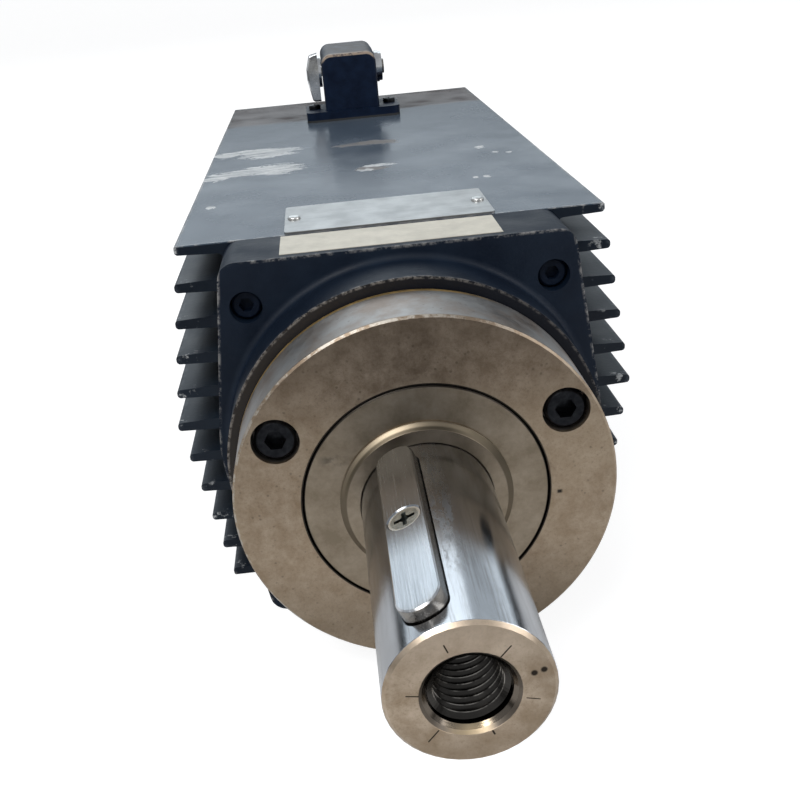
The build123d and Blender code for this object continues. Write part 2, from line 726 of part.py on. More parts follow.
with BuildPart() as stator_winding:
    for head_start_y, head_end_y in ((coil_front_y, core_start_y - seam_gap),
                                     (core_end_y + seam_gap, coil_end_y)):
        ring(coil_head_inner_radius, coil_head_outer_radius, head_start_y, head_end_y)
    far_rims = stator_winding.edges().filter_by(GeomType.CIRCLE)
    fillet(far_rims.group_by(Axis.Y)[0] + far_rims.group_by(Axis.Y)[-1], radius=coil_head_round)
    slot_bars(slot_fill_gap, core_start_y - coil_bar_overlap, core_end_y + coil_bar_overlap, Mode.ADD)
keep(stator_winding, "stator_winding")

# Rotor core on the shaft, with a cast short-circuit ring at each end
with BuildPart() as rotor_core:
    ring(rotor_seat_radius + seat_gap, core_bore_radius - air_gap, core_start_y, core_end_y)
keep(rotor_core, "rotor_core")

with BuildPart() as rotor_end_rings:
    for y_start in (rotor_seat_start_y, core_end_y):
        ring(rotor_seat_radius + seat_gap, end_ring_outer_radius, y_start, y_start + end_ring_length)
    chamfer(rotor_end_rings.edges().filter_by(GeomType.CIRCLE).filter_by(
        lambda e: abs(e.radius - end_ring_outer_radius) < same), length=end_ring_chamfer)
keep(rotor_end_rings, "rotor_end_rings")

# Rear end shield with the floating bearing's seat
rear_shoulder_y = rear_bearing_y - rear_spring_height - seam_gap
cover_pillar_places = on_circle(rear_cover_screw_circle_radius, rear_cover_screw_angles)
plate_screw_places = on_circle(bearing_plate_screw_circle_radius, bearing_plate_screw_angles)
with BuildPart() as rear_end_shield:
    with BuildSketch(across(rear_face_y)):
        add(hexagon_sketch(shield_half_width_top, shield_half_width_belly, rear_shield_half_height))
    extrude(amount=rear_shield_depth)
    fillet(rear_end_shield.edges().filter_by(Axis.Y).filter_by(
        lambda e: abs(e.center().Z) > shield_half_height / 2), radius=shield_corner_round)
    fillet(rear_end_shield.edges().filter_by(Axis.Y).filter_by(lambda e: abs(e.center().Z) < 1),
           radius=shield_belly_round)
    fillet(rear_end_shield.faces().sort_by(Axis.Y)[-1].edges(), radius=rear_shield_edge_round)
    ring(0, shield_spigot_radius, housing_end_y - shield_spigot_length, housing_end_y)
    turned([
        (0, housing_end_y - shield_spigot_length),
        (rear_spring_inner_radius, housing_end_y - shield_spigot_length),
        (rear_spring_inner_radius, rear_shoulder_y), (rear_bearing_radius, rear_shoulder_y),
        (rear_bearing_radius, rear_face_y), (0, rear_face_y)], mode=Mode.SUBTRACT)
    round_bars(corner_places, shield_screw_radius + screw_hole_gap, housing_end_y, rear_face_y,
               mode=Mode.SUBTRACT)
    round_bars(corner_places, shield_counterbore_radius, rear_face_y - shield_counterbore_depth,
               rear_face_y, mode=Mode.SUBTRACT)
    round_bars(plate_screw_places + cover_pillar_places, small_screw_radius + seat_gap,
               rear_face_y - small_screw_grip - tap_spare_length, rear_face_y, mode=Mode.SUBTRACT)
keep(rear_end_shield, "rear_end_shield")

rear_screw_head_y = rear_face_y - shield_counterbore_depth + shield_screw_head_height
socket_screws("rear_shield_screws", corner_places, rear_screw_head_y, 1,
              (shield_screw_radius, shield_screw_head_radius, shield_screw_head_height,
               rear_shield_depth - shield_counterbore_depth + screw_reach))

# Disc spring that preloads the rear bearing's outer ring
spring_outer_radius = rear_bearing_radius - rear_spring_slack
spring_bore_radius = rear_spring_inner_radius + rear_spring_bore_gap
with BuildPart() as preload_spring:
    spring_y = rear_shoulder_y + seam_gap / 2
    cone_rise = rear_spring_height - rear_spring_thickness
    turned([
        (spring_bore_radius, spring_y), (spring_outer_radius, spring_y + cone_rise),
        (spring_outer_radius, spring_y + cone_rise + rear_spring_thickness),
        (spring_bore_radius, spring_y + rear_spring_thickness)])
keep(preload_spring, "preload_spring")

# Circlip that holds the rear bearing's inner ring on the shaft
with BuildPart() as rear_circlip:
    clip_y = circlip_y + bearing_end_float / 2
    ring(rear_seat_radius - circlip_groove_depth + seat_gap, rear_seat_radius + circlip_rise,
         clip_y, clip_y + circlip_thickness)
    gap_half_width = rear_seat_radius * sin(radians(circlip_gap_angle / 2))
    with BuildSketch(across(clip_y + circlip_thickness)):
        with Locations((0, rear_seat_radius)):
            Rectangle(2 * gap_half_width, rear_seat_radius)
    extrude(amount=circlip_thickness, mode=Mode.SUBTRACT)
keep(rear_circlip, "rear_circlip")

# Plate that closes the rear bearing seat and carries the encoder
plate_back_y = rear_face_y + bearing_plate_thickness
encoder_bore_radius = encoder_collar_radius + encoder_bore_gap
plate_bore_radius = encoder_collar_radius + encoder_foot_gap
with BuildPart() as bearing_plate:
    ring(plate_bore_radius, bearing_plate_radius, rear_face_y, plate_back_y)
    round_bars(plate_screw_places, small_screw_radius + small_hole_gap, rear_face_y, plate_back_y,
               mode=Mode.SUBTRACT)
keep(bearing_plate, "bearing_plate")

socket_screws("bearing_plate_screws", plate_screw_places, plate_back_y + small_screw_head_height, 1,
              (small_screw_radius, small_screw_head_radius, small_screw_head_height,
               small_screw_grip + bearing_plate_thickness))

encoder_end_y = plate_back_y + encoder_length
with BuildPart() as encoder_body:
    turned([
        (plate_bore_radius, plate_back_y), (encoder_radius, plate_back_y),
        (encoder_radius, encoder_end_y - encoder_edge), (encoder_radius - encoder_edge, encoder_end_y),
        (encoder_bore_radius, encoder_end_y), (encoder_bore_radius, plate_back_y + encoder_foot_height),
        (plate_bore_radius, plate_back_y + encoder_foot_height)])
keep(encoder_body, "encoder_body")

shaft_tail_y = shaft_rear_y + encoder_stub_length
collar_end_y = shaft_tail_y - encoder_collar_inset
with BuildPart() as encoder_collar:
    ring(encoder_stub_radius + seat_gap, encoder_collar_radius, collar_end_y - encoder_collar_length,
         collar_end_y)
    chamfer(encoder_collar.edges().filter_by(GeomType.CIRCLE).filter_by(
        lambda e: abs(e.radius - encoder_collar_radius) < same), length=encoder_collar_chamfer)
keep(encoder_collar, "encoder_collar")

# Round rear cover over the encoder, held by three screws through its pillars
cover_end_y = rear_face_y + rear_cover_length
with BuildPart() as rear_cover:
    ring(0, rear_cover_radius, rear_face_y, cover_end_y)
    fillet(rear_cover.edges().filter_by(GeomType.CIRCLE).group_by(Axis.Y)[-1],
           radius=rear_cover_edge_round)
    ring(0, rear_cover_radius - rear_cover_wall, rear_face_y, cover_end_y - rear_cover_wall,
         mode=Mode.SUBTRACT)
    round_bars(cover_pillar_places, rear_cover_pillar_radius, rear_face_y,
               cover_end_y - rear_cover_wall / 2)
    round_bars(cover_pillar_places, small_screw_radius + small_hole_gap, rear_face_y, cover_end_y,
               mode=Mode.SUBTRACT)
keep(rear_cover, "rear_cover")

socket_screws("rear_cover_screws", cover_pillar_places, cover_end_y + small_screw_head_height, 1,
              (small_screw_radius, small_screw_head_radius, small_screw_head_height,
               rear_cover_length + small_screw_grip))

# Bare nameplate with two rivets, and a blank label on the end shield
nameplate_y = seam_y + nameplate_to_seam + nameplate_length / 2
with BuildPart() as nameplate:
    with BuildSketch(Plane.XY.offset(plate_top_z)):
        with Locations((0, nameplate_y)):
            RectangleRounded(nameplate_width, nameplate_length, nameplate_corner_round)
        with Locations(*rivet_places):
            Circle(rivet_radius + seat_gap, mode=Mode.SUBTRACT)
    extrude(amount=nameplate_thickness)
keep(nameplate, "nameplate")

with BuildPart() as nameplate_rivets:
    head_z = plate_top_z + nameplate_thickness
    with BuildSketch(Plane.XY.offset(head_z)) as rivet_heads:
        with Locations(*rivet_places):
            Circle(rivet_head_radius)
    extrude(rivet_heads.sketch, amount=rivet_head_height)
    fillet(nameplate_rivets.faces().sort_by(Axis.Z)[-2:].edges(), radius=rivet_head_round)
    with BuildSketch(Plane.XY.offset(head_z)) as rivet_shanks:
        with Locations(*rivet_places):
            Circle(rivet_radius)
    extrude(rivet_shanks.sketch, amount=-rivet_grip - nameplate_thickness)
keep(nameplate_rivets, "nameplate_rivets")

label_y = seam_y - label_to_seam - label_length / 2
with BuildPart() as blank_label:
    with BuildSketch(Plane.XY.offset(shield_half_height)):
        with Locations((label_shift, label_y)):
            Rectangle(label_width, label_length)
    extrude(amount=label_thickness)
keep(blank_label, "blank_label")

# Connector: gasket, angled housing on a flange, contact insert and two screws
with BuildPart() as connector_gasket:
    with BuildSketch(Plane.XY.offset(plate_top_z)):
        with Locations((connector_x, connector_y)):
            RectangleRounded(base_width, base_length, base_corner_round)
            Rectangle(2 * hood_half_width - gasket_wall, base_length - 2 * gasket_wall, mode=Mode.SUBTRACT)
        with Locations(*base_screw_places):
            Circle(small_screw_radius + small_hole_gap, mode=Mode.SUBTRACT)
    extrude(amount=gasket_thickness)
keep(connector_gasket, "connector_gasket")

hood_rear_y = hood_front_y + hood_length
lever_pivot_z = connector_base_z + lever_pivot_height
with BuildPart() as connector_housing:
    with BuildSketch(Plane.XY.offset(connector_base_z)):
        with Locations((connector_x, connector_y)):
            RectangleRounded(base_width, base_length, base_corner_round)
    extrude(amount=base_thickness)
    with BuildSketch(lengthwise(-hood_half_width)):
        with BuildLine():
            Polyline(
                (hood_front_y, connector_base_z), (hood_front_y, plate_top_z + hood_front_height),
                (hood_front_y + hood_slope_length, plate_top_z + hood_crest_height),
                (hood_rear_y, plate_top_z + hood_crest_height),
                (hood_rear_y, connector_base_z + hood_foot_height),
                (connector_y + base_length / 2, connector_base_z + hood_foot_height),
                (connector_y + base_length / 2, connector_base_z), close=True)
        make_face()
    extrude(amount=2 * hood_half_width)
    roof_z = plate_top_z + hood_front_height
    crest_sides = connector_housing.edges().filter_by(
        lambda e: e.center().Z > roof_z and abs(e.center().X - connector_x) > hood_half_width - same)
    fillet(crest_sides, radius=hood_round)
    front_rim = connector_housing.edges().filter_by(
        lambda e: abs(e.center().Y - hood_front_y) < same and e.center().Z > connector_z + same)
    fillet(front_rim, radius=hood_front_round)
    with BuildSketch(across(hood_rear_y)) as mouth:
        with Locations((connector_x, plate_top_z + (mouth_bottom_height + mouth_top_height) / 2)):
            RectangleRounded(2 * mouth_half_width, mouth_top_height - mouth_bottom_height,
                             mouth_corner_round)
    extrude(mouth.sketch, amount=hood_length - hood_front_wall, mode=Mode.SUBTRACT)
    with BuildSketch(Plane.XY.offset(connector_base_z)) as wire_way:
        with Locations((connector_x, connector_y)):
            Circle(cable_hole_radius)
    extrude(wire_way.sketch, amount=mouth_bottom_height, mode=Mode.SUBTRACT)
    with BuildSketch(Plane.XY.offset(connector_z)) as screw_holes:
        with Locations(*base_screw_places):
            Circle(small_screw_radius + small_hole_gap)
    extrude(screw_holes.sketch, amount=-base_thickness, mode=Mode.SUBTRACT)
    with BuildSketch(lengthwise(-hood_half_width)) as pin_holes:
        with Locations((lever_pivot_y, lever_pivot_z)):
            Circle(lever_pin_radius + seat_gap)
    extrude(pin_holes.sketch, amount=lever_pin_depth, mode=Mode.SUBTRACT)
    with BuildSketch(lengthwise(hood_half_width)) as pin_holes_right:
        with Locations((lever_pivot_y, lever_pivot_z)):
            Circle(lever_pin_radius + seat_gap)
    extrude(pin_holes_right.sketch, amount=-lever_pin_depth, mode=Mode.SUBTRACT)
keep(connector_housing, "connector_housing")

with BuildPart() as connector_insert:
    insert_mid_z = plate_top_z + (mouth_bottom_height + mouth_top_height) / 2
    insert_height = mouth_top_height - mouth_bottom_height - 2 * insert_wall_gap
    with BuildSketch(across(hood_rear_y - mouth_depth)):
        with Locations((connector_x, insert_mid_z)):
            RectangleRounded(2 * (mouth_half_width - insert_wall_gap), insert_height,
                             insert_corner_round)
    extrude(amount=insert_depth)
    with BuildSketch(across(hood_rear_y - mouth_depth)) as contacts:
        with Locations((connector_x, insert_mid_z)):
            with GridLocations(contact_spacing, contact_spacing, contacts_per_side, contacts_per_side):
                Circle(contact_radius)
    extrude(contacts.sketch, amount=contact_depth, mode=Mode.SUBTRACT)
keep(connector_insert, "connector_insert")

with BuildPart() as connector_screws:
    with BuildSketch(Plane.XY.offset(connector_z)) as pan_heads:
        with Locations(*base_screw_places):
            Circle(small_screw_head_radius)
    extrude(pan_heads.sketch, amount=small_screw_head_height)
    fillet(connector_screws.faces().sort_by(Axis.Z)[-2:].edges(), radius=pan_head_round)
    with BuildSketch(Plane.XY.offset(connector_z)) as shanks:
        with Locations(*base_screw_places):
            Circle(small_screw_radius)
    extrude(shanks.sketch, amount=-base_screw_length)
    with BuildSketch(Plane.XY.offset(connector_z + small_screw_head_height)) as crosses:
        with Locations(*base_screw_places):
            Rectangle(pan_recess_span, pan_recess_width)
            Rectangle(pan_recess_width, pan_recess_span)
    extrude(crosses.sketch, amount=-pan_recess_depth, mode=Mode.SUBTRACT)
keep(connector_screws, "connector_screws")

# Locking lever: two arms with eyes, a cross bar behind the hood and a thumb tab on the left
arm_inner_x = hood_half_width + lever_side_gap
arm_outer_x = arm_inner_x + lever_arm_thickness
eye_outer_x = arm_outer_x + lever_eye_boss_thickness
bar_y = lever_pivot_y + lever_reach
bar_z = lever_pivot_z + lever_rise
arm_length = sqrt(lever_reach ** 2 + lever_rise ** 2)
arm_middle = ((lever_pivot_y + bar_y) / 2, (lever_pivot_z + bar_z) / 2)
arm_slope = Vector(lever_reach, lever_rise).get_angle(Vector(1, 0))
lever_eye_hole = lever_pin_radius + running_gap
tab_root_x = connector_x - arm_outer_x + lever_tab_overlap
tab_tip_x = tab_root_x - lever_tab_width
tab_top_z = lever_pivot_z + lever_tab_rise
tab_foot_z = lever_pivot_z - lever_tab_drop
with BuildPart() as locking_lever:
    for side in (-1, 1):
        with BuildSketch(lengthwise(side * arm_inner_x)) as arm_outline:
            with Locations((lever_pivot_y, lever_pivot_z)):
                Circle(lever_eye_radius)
            with Locations(Location(arm_middle, arm_slope)):
                Rectangle(arm_length, lever_arm_width)
            with Locations((bar_y, bar_z)):
                Circle(lever_arm_width / 2)
            with Locations((lever_pivot_y, lever_pivot_z)):
                Circle(lever_eye_hole, mode=Mode.SUBTRACT)
        extrude(arm_outline.sketch, amount=side * lever_arm_thickness)
        with BuildSketch(lengthwise(side * arm_outer_x)) as eye_outline:
            with Locations((lever_pivot_y, lever_pivot_z)):
                Circle(lever_eye_radius - lever_eye_step)
                Circle(lever_eye_hole, mode=Mode.SUBTRACT)
        extrude(eye_outline.sketch, amount=side * lever_eye_boss_thickness)
    with BuildSketch(lengthwise(-arm_inner_x)) as bar_outline:
        with Locations((bar_y, bar_z)):
            Circle(lever_bar_radius)
    extrude(bar_outline.sketch, amount=2 * arm_inner_x)
    tab_front_y = lever_pivot_y - lever_eye_radius - lever_tab_lead
    with BuildSketch(across(tab_front_y + lever_tab_thickness)) as tab_outline:
        with BuildLine():
            Polyline(
                (tab_root_x, tab_top_z), (tab_tip_x + lever_tab_slope, tab_top_z - lever_tab_slope / 2),
                (tab_tip_x, lever_pivot_z + lever_tab_slope),
                (tab_tip_x, lever_pivot_z - lever_arm_width / 2),
                (tab_tip_x + lever_tab_slope, tab_foot_z), (tab_root_x, tab_foot_z), close=True)
        make_face()
        fillet(tab_outline.vertices().filter_by(lambda v: v.X < tab_root_x - lever_tab_round),
               radius=lever_tab_round)
    extrude(tab_outline.sketch, amount=lever_tab_thickness)
    tab_rim = locking_lever.edges().filter_by(
        lambda e: abs(e.center().Y - tab_front_y) < same and e.center().X < tab_root_x - same)
    fillet(tab_rim, radius=lever_tab_edge)
keep(locking_lever, "locking_lever")

pin_root_x = hood_half_width - lever_pin_depth + small_hole_gap
pin_head_x = eye_outer_x + running_gap
with BuildPart() as lever_pins:
    for side in (-1, 1):
        with BuildSketch(lengthwise(side * pin_root_x)) as pin_outline:
            with Locations((lever_pivot_y, lever_pivot_z)):
                Circle(lever_pin_radius)
        extrude(pin_outline.sketch, amount=side * (pin_head_x - pin_root_x))
        with BuildSketch(lengthwise(side * pin_head_x)) as head_outline:
            with Locations((lever_pivot_y, lever_pivot_z)):
                Circle(lever_pin_head_radius)
        extrude(head_outline.sketch, amount=side * lever_pin_head_height)
keep(lever_pins, "lever_pins")
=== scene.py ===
import math

import bpy
import numpy as np
from mathutils import Matrix, Vector


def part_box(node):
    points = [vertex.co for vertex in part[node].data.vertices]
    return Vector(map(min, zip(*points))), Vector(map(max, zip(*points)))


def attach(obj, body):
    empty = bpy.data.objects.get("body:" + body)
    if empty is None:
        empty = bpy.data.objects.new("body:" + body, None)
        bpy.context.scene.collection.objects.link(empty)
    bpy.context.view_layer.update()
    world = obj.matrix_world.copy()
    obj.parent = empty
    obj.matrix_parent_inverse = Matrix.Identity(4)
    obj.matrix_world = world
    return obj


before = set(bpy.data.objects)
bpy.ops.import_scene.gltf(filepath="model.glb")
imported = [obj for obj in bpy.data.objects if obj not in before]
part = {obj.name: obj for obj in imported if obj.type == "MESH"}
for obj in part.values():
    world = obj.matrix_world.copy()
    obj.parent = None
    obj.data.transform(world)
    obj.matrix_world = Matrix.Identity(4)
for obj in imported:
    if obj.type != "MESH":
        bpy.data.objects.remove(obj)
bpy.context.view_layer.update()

# The motor lies on its bottom plate on a pale studio floor: one sheet of paper that runs up into a
# backdrop far behind the rear cover. The floor's top is the plane that the plate rests on.
floor_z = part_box("stator_housing")[0][2]
paper_gap = 0.0003
paper_front = -3.0
paper_half_width = 7.0
wall_foot = 4.5
bend_radius = 1.2
wall_height = 5.5


def surface(name, points, close_v=False, smooth=True):
    """A mesh over a grid of points[u, v]: each cell joins point (u, v) to (u+1, v), (u+1, v+1) and (u, v+1).
    With close_v the last column joins the first, so a profile carried along u becomes a closed bar."""
    nu, nv = points.shape[:2]
    index = np.arange(nu * nv).reshape(nu, nv)
    u = np.arange(nu - 1)
    v = np.arange(nv if close_v else nv - 1)
    next_v = (v + 1) % nv
    corners = [index[np.ix_(a, b)] for a, b in ((u, v), (u + 1, v), (u + 1, next_v), (u, next_v))]
    faces = np.stack(corners, axis=-1).reshape(-1, 4)
    mesh = bpy.data.meshes.new(name)
    mesh.from_pydata(points.reshape(-1, 3).tolist(), [], faces.tolist())
    mesh.validate()
    mesh.polygons.foreach_set("use_smooth", np.full(len(mesh.polygons), smooth))
    made = bpy.data.objects.new(name, mesh)
    bpy.context.scene.collection.objects.link(made)
    return made


class Finish:
    """A node material in the making: every call adds a node or a few and gives back their output."""

    def __init__(self, name, roughness=0.5, metallic=0.0, specular=0.5):
        self.material = bpy.data.materials.new(name)
        self.material.use_nodes = True
        self.tree = self.material.node_tree
        self.shader = self.tree.nodes["Principled BSDF"]
        self.shader.inputs["Roughness"].default_value = roughness
        self.shader.inputs["Metallic"].default_value = metallic
        self.shader.inputs["Specular IOR Level"].default_value = specular
        self.place = self.tree.nodes.new("ShaderNodeTexCoord").outputs["Object"]
        self.x, self.y, self.z = self.add("ShaderNodeSeparateXYZ", Vector=self.place).outputs

    def put(self, socket, value):
        if isinstance(value, bpy.types.NodeSocket):
            self.tree.links.new(value, socket)
        else:
            socket.default_value = value

    def add(self, kind, **inputs):
        node = self.tree.nodes.new(kind)
        for socket, value in inputs.items():
            self.put(node.inputs[socket.replace("_", " ")], value)
        return node

    def sum(self, operation, a, b=0.0):
        """One step of arithmetic on numbers or outputs, such as ADD, MULTIPLY or LESS_THAN."""
        node = self.tree.nodes.new("ShaderNodeMath")
        node.operation = operation
        self.put(node.inputs[0], a)
        self.put(node.inputs[1], b)
        return node.outputs[0]

    def all_of(self, first, *others):
        """The product of several shares: 1 only where all are 1."""
        for other in others:
            first = self.sum("MULTIPLY", first, other)
        return first

    def span(self, value, low, high, to_low=0.0, to_high=1.0):
        """Where a value lies between low and high, held to the range to_low to to_high."""
        node = self.add("ShaderNodeMapRange", Value=value)
        for socket, number in zip(("From Min", "From Max", "To Min", "To Max"), (low, high, to_low, to_high)):
            node.inputs[socket].default_value = number
        return node.outputs["Result"]

    def near(self, value, middle, reach):
        """1 at a middle value, falling to 0 at a reach either side of it."""
        away = self.sum("ABSOLUTE", self.sum("SUBTRACT", value, middle))
        return self.span(away, reach, reach * 0.4)

    def length(self, a, b):
        """The length of a slanting line: the root of the sum of two squares."""
        return self.sum("SQRT", self.sum("ADD", self.sum("MULTIPLY", a, a), self.sum("MULTIPLY", b, b)))

    def radius(self):
        """Distance from the shaft axis, which is the object's Y axis."""
        return self.length(self.x, self.z)

    def cloud(self, size, detail=3.0, stretch=(1, 1, 1), roughness=0.55, seed=0.0):
        """Soft random patches about size metres across, drawn out along an axis by a stretch above 1."""
        scaled = self.add("ShaderNodeMapping", Vector=self.place)
        scaled.inputs["Scale"].default_value = tuple(1 / (size * s) for s in stretch)
        scaled.inputs["Location"].default_value = (seed, seed * 1.7, seed * 0.6)
        noise = self.add("ShaderNodeTexNoise", Vector=scaled.outputs[0], Scale=1.0, Detail=detail,
                         Roughness=roughness)
        return noise.outputs["Fac"]

    def lines(self, along, rate, detail=2.0):
        """Random fine lines square to a value in metres, about rate of them to the metre."""
        noise = self.add("ShaderNodeTexNoise", Scale=1.0, Detail=detail)
        noise.noise_dimensions = "1D"
        self.put(noise.inputs["W"], self.sum("MULTIPLY", along, rate))
        return noise.outputs["Fac"]

    def blend(self, share, a, b):
        """Colour a where share is 0, colour b where it is 1. Colours are three numbers or outputs."""
        node = self.tree.nodes.new("ShaderNodeMix")
        node.data_type = "RGBA"
        self.put(node.inputs[0], share)
        for socket, value in ((node.inputs[6], a), (node.inputs[7], b)):
            self.put(socket, value if isinstance(value, bpy.types.NodeSocket) else (*value, 1.0))
        return node.outputs[2]

    def shades(self, noise, low, high, a, b):
        """Colour a where a noise or distance is at low, colour b where it is at high."""
        return self.blend(self.span(noise, low, high), a, b)

    def layers(self, under, *coats):
        """Coats laid over a colour in turn. Each is its colour, the share where it lies, and its strength."""
        for colour, share, strength in coats:
            if strength != 1.0:
                share = self.sum("MULTIPLY", share, strength)
            under = self.blend(share, under, colour)
        return under

    def relief(self, height, depth, strength=1.0, below=None):
        """Bumps of a depth in metres from a height between 0 and 1, on top of the bumps below."""
        node = self.add("ShaderNodeBump", Height=height, Strength=strength, Distance=depth)
        if below is not None:
            self.put(node.inputs["Normal"], below)
        return node.outputs["Normal"]

    def mixed(self, share, first, second):
        """One shader where share is 0, another where it is 1."""
        node = self.add("ShaderNodeMixShader", Fac=share)
        self.put(node.inputs[1], first)
        self.put(node.inputs[2], second)
        return node.outputs[0]

    def wear(self, colour=None, roughness=None, normal=None):
        """Joins the finished patterns to the shader."""
        for socket, value in (("Base Color", colour), ("Roughness", roughness), ("Normal", normal)):
            if value is not None:
                self.put(self.shader.inputs[socket], value)
        return self.material


# The paper's profile is carried sideways. Of its length the first 0.6 is level floor, the next 0.2 a
# quarter circle of the bend's radius, and the last 0.2 an upright wall.
along = np.linspace(0, 1, 40)
bend = np.clip((along - 0.6) / 0.2, 0, 1) * math.pi / 2
paper_y = paper_front + (wall_foot - paper_front) * np.clip(along / 0.6, 0, 1) + bend_radius * np.sin(bend)
paper_rise = bend_radius * (1 - np.cos(bend)) + np.clip(along - 0.8, 0, 1) / 0.2 * wall_height
paper_x = np.linspace(-paper_half_width, paper_half_width, 12)
side, row = np.meshgrid(paper_x, np.arange(along.size), indexing="ij")
paper_points = np.stack([side, paper_y[row], floor_z - paper_gap + paper_rise[row]], axis=-1)
floor = surface("studio_floor", paper_points)
paper = Finish("studio_paper", roughness=0.9, specular=0.1)
light_path = paper.add("ShaderNodeLightPath").outputs
mirror = light_path["Is Glossy Ray"]
# Polished metal mirrors the floor in front of the motor. There the floor is painted dark for mirrored rays
# only, a painted shade.
painted_dark_in_mirror = paper.all_of(mirror, paper.span(paper.y, -0.20, -0.31, 0.0, 0.93))
paper_tone = paper.blend(paper.cloud(0.5), (0.80, 0.80, 0.80), (0.84, 0.84, 0.84))
paper_tone = paper.layers(paper_tone, ((0.03, 0.028, 0.026), painted_dark_in_mirror, 1.0))
glow = paper.add("ShaderNodeEmission", Color=(1, 1, 1, 1), Strength=1.5)
shown = paper.mixed(paper.sum("MULTIPLY", light_path["Is Camera Ray"], 0.55), paper.shader.outputs[0],
                    glow.outputs[0])
# Behind the motor the backdrop glows for mirrored rays only, a painted reflection of a room: dark near the
# floor, daylight higher up and most of it to the left.
low_light = paper.span(paper.z, 0.86, 0.93, 0.02, 1.22)
high_light = paper.span(paper.x, -2.6, 1.3, 0.74, 0.60)
room_glow_strength = paper.sum("ADD", paper.sum("MULTIPLY", low_light, paper.span(paper.z, 1.5, 2.5, 1.0, 0.0)),
                       paper.sum("MULTIPLY", high_light, paper.span(paper.z, 1.5, 2.5)))
room_reflection_glow = paper.add("ShaderNodeEmission", Color=(0.84, 0.93, 1.0, 1), Strength=room_glow_strength)
behind = paper.sum("GREATER_THAN", paper.y, wall_foot - 1.0)
mirrored = paper.mixed(paper.all_of(mirror, behind), shown, room_reflection_glow.outputs[0])
paper.put(paper.tree.nodes["Material Output"].inputs["Surface"], mirrored)
floor.data.materials.append(paper.wear(colour=paper_tone))

# The camera stands where the photograph was taken from: close to the shaft end and 27 degrees above it,
# so near that the shaft end looms large and the body falls away.
camera_place = (-0.0193, -0.2929, 0.1561)
cam_az, cam_el, cam_roll = (math.radians(a) for a in (-2.08, 27.01, -5.41))
image_px = 800
focal_px = 980.5
axis_px = (392, 448)
cam_level = math.cos(cam_el)
cam_back = Vector((math.sin(cam_az) * cam_level, -math.cos(cam_az) * cam_level, math.sin(cam_el)))
cam_right = (-cam_back).cross(Vector((0, 0, 1))).normalized()
cam_up = cam_right.cross(-cam_back)
tilt_right = cam_right * math.cos(cam_roll) + cam_up * math.sin(cam_roll)
tilt_up = cam_up * math.cos(cam_roll) - cam_right * math.sin(cam_roll)
camera_data = bpy.data.cameras.new("camera")
camera_data.sensor_width = 36.0
camera_data.lens = focal_px / image_px * camera_data.sensor_width
camera_data.shift_x = (image_px / 2 - axis_px[0]) / image_px
camera_data.shift_y = (axis_px[1] - image_px / 2) / image_px
camera_data.clip_start = 0.01
camera_data.clip_end = 50
camera = bpy.data.objects.new("camera", camera_data)
camera_turn = Matrix((tilt_right, tilt_up, cam_back)).transposed().to_4x4()
camera.matrix_world = Matrix.Translation(camera_place) @ camera_turn
bpy.context.scene.collection.objects.link(camera)
bpy.context.scene.camera = camera


def soft_box(name, place, aim, size, power, colour=(1, 1, 1)):
    """A square studio lamp at a place, turned to face a point."""
    lamp = bpy.data.lights.new(name, "AREA")
    lamp.size = size
    lamp.energy = power
    lamp.color = colour
    stand = bpy.data.objects.new(name, lamp)
    stand.location = place
    stand.rotation_euler = (Vector(aim) - Vector(place)).to_track_quat("-Z", "Y").to_euler()
    bpy.context.scene.collection.objects.link(stand)


# One large soft box hangs over the left front, a weaker one fills from the right, and one stands
# behind, where its sheen lies along the top plate as daylight does in the photograph.
soft_box("key_light", (-0.7, -0.9, 1.3), (0, 0, 0), 0.9, 16)
soft_box("fill_light", (1.2, -0.5, 0.7), (0, 0, 0), 0.8, 6)
soft_box("back_light", (-0.3, 2.2, 1.6), (0, 0.2, 0), 1.6, 9, (0.86, 0.94, 1.0))
# The room's own light is soft and a little blue. Only the camera sees its white.
world = bpy.data.worlds.new("studio")
bpy.context.scene.world = world
world.use_nodes = True
air = world.node_tree
sky = air.nodes["Background"]
white_sky = air.nodes.new("ShaderNodeBackground")
for shade, colour, strength in ((sky, (0.93, 0.96, 1.0, 1), 0.45), (white_sky, (1, 1, 1, 1), 1.0)):
    shade.inputs["Color"].default_value = colour
    shade.inputs["Strength"].default_value = strength
sky_mix = air.nodes.new("ShaderNodeMixShader")
air.links.new(air.nodes.new("ShaderNodeLightPath").outputs["Is Camera Ray"], sky_mix.inputs[0])
air.links.new(sky.outputs[0], sky_mix.inputs[1])
air.links.new(white_sky.outputs[0], sky_mix.inputs[2])
air.links.new(sky_mix.outputs[0], air.nodes["World Output"].inputs["Surface"])
bpy.context.scene.view_settings.view_transform = "Standard"

# The finned housing is the long middle piece: an aluminium casting with eleven fins a side, milled flat
# on top and below, under dark blue-grey enamel that is rubbed through at the plate's edges and scuffed
# pale on top.
plate_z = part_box("stator_housing")[1][2]
plate_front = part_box("stator_housing")[0][1]
plate_side = 0.0765
fin_reach = 0.0873


def dress(finish, *names):
    """Gives CAD pieces one material in all their slots."""
    for name in names:
        slots = part[name].data.materials
        slots.clear()
        slots.append(finish)


def blots(finish, noise, places):
    """1 on flaky blots, where the noise less a fifth of the squared distance from a blot's middle is above
    0.36. Each place is the middle's x and y and the reach both ways, in metres."""
    most = 0.0
    for x, y, reach_x, reach_y in places:
        off_x = finish.sum("MULTIPLY", finish.sum("SUBTRACT", finish.x, x), 1 / reach_x)
        off_y = finish.sum("MULTIPLY", finish.sum("SUBTRACT", finish.y, y), 1 / reach_y)
        away = finish.sum("ADD", finish.sum("MULTIPLY", off_x, off_x), finish.sum("MULTIPLY", off_y, off_y))
        most = finish.sum("MAXIMUM", most, finish.sum("SUBTRACT", noise, finish.sum("MULTIPLY", away, 0.2)))
    return finish.span(most, 0.34, 0.38)


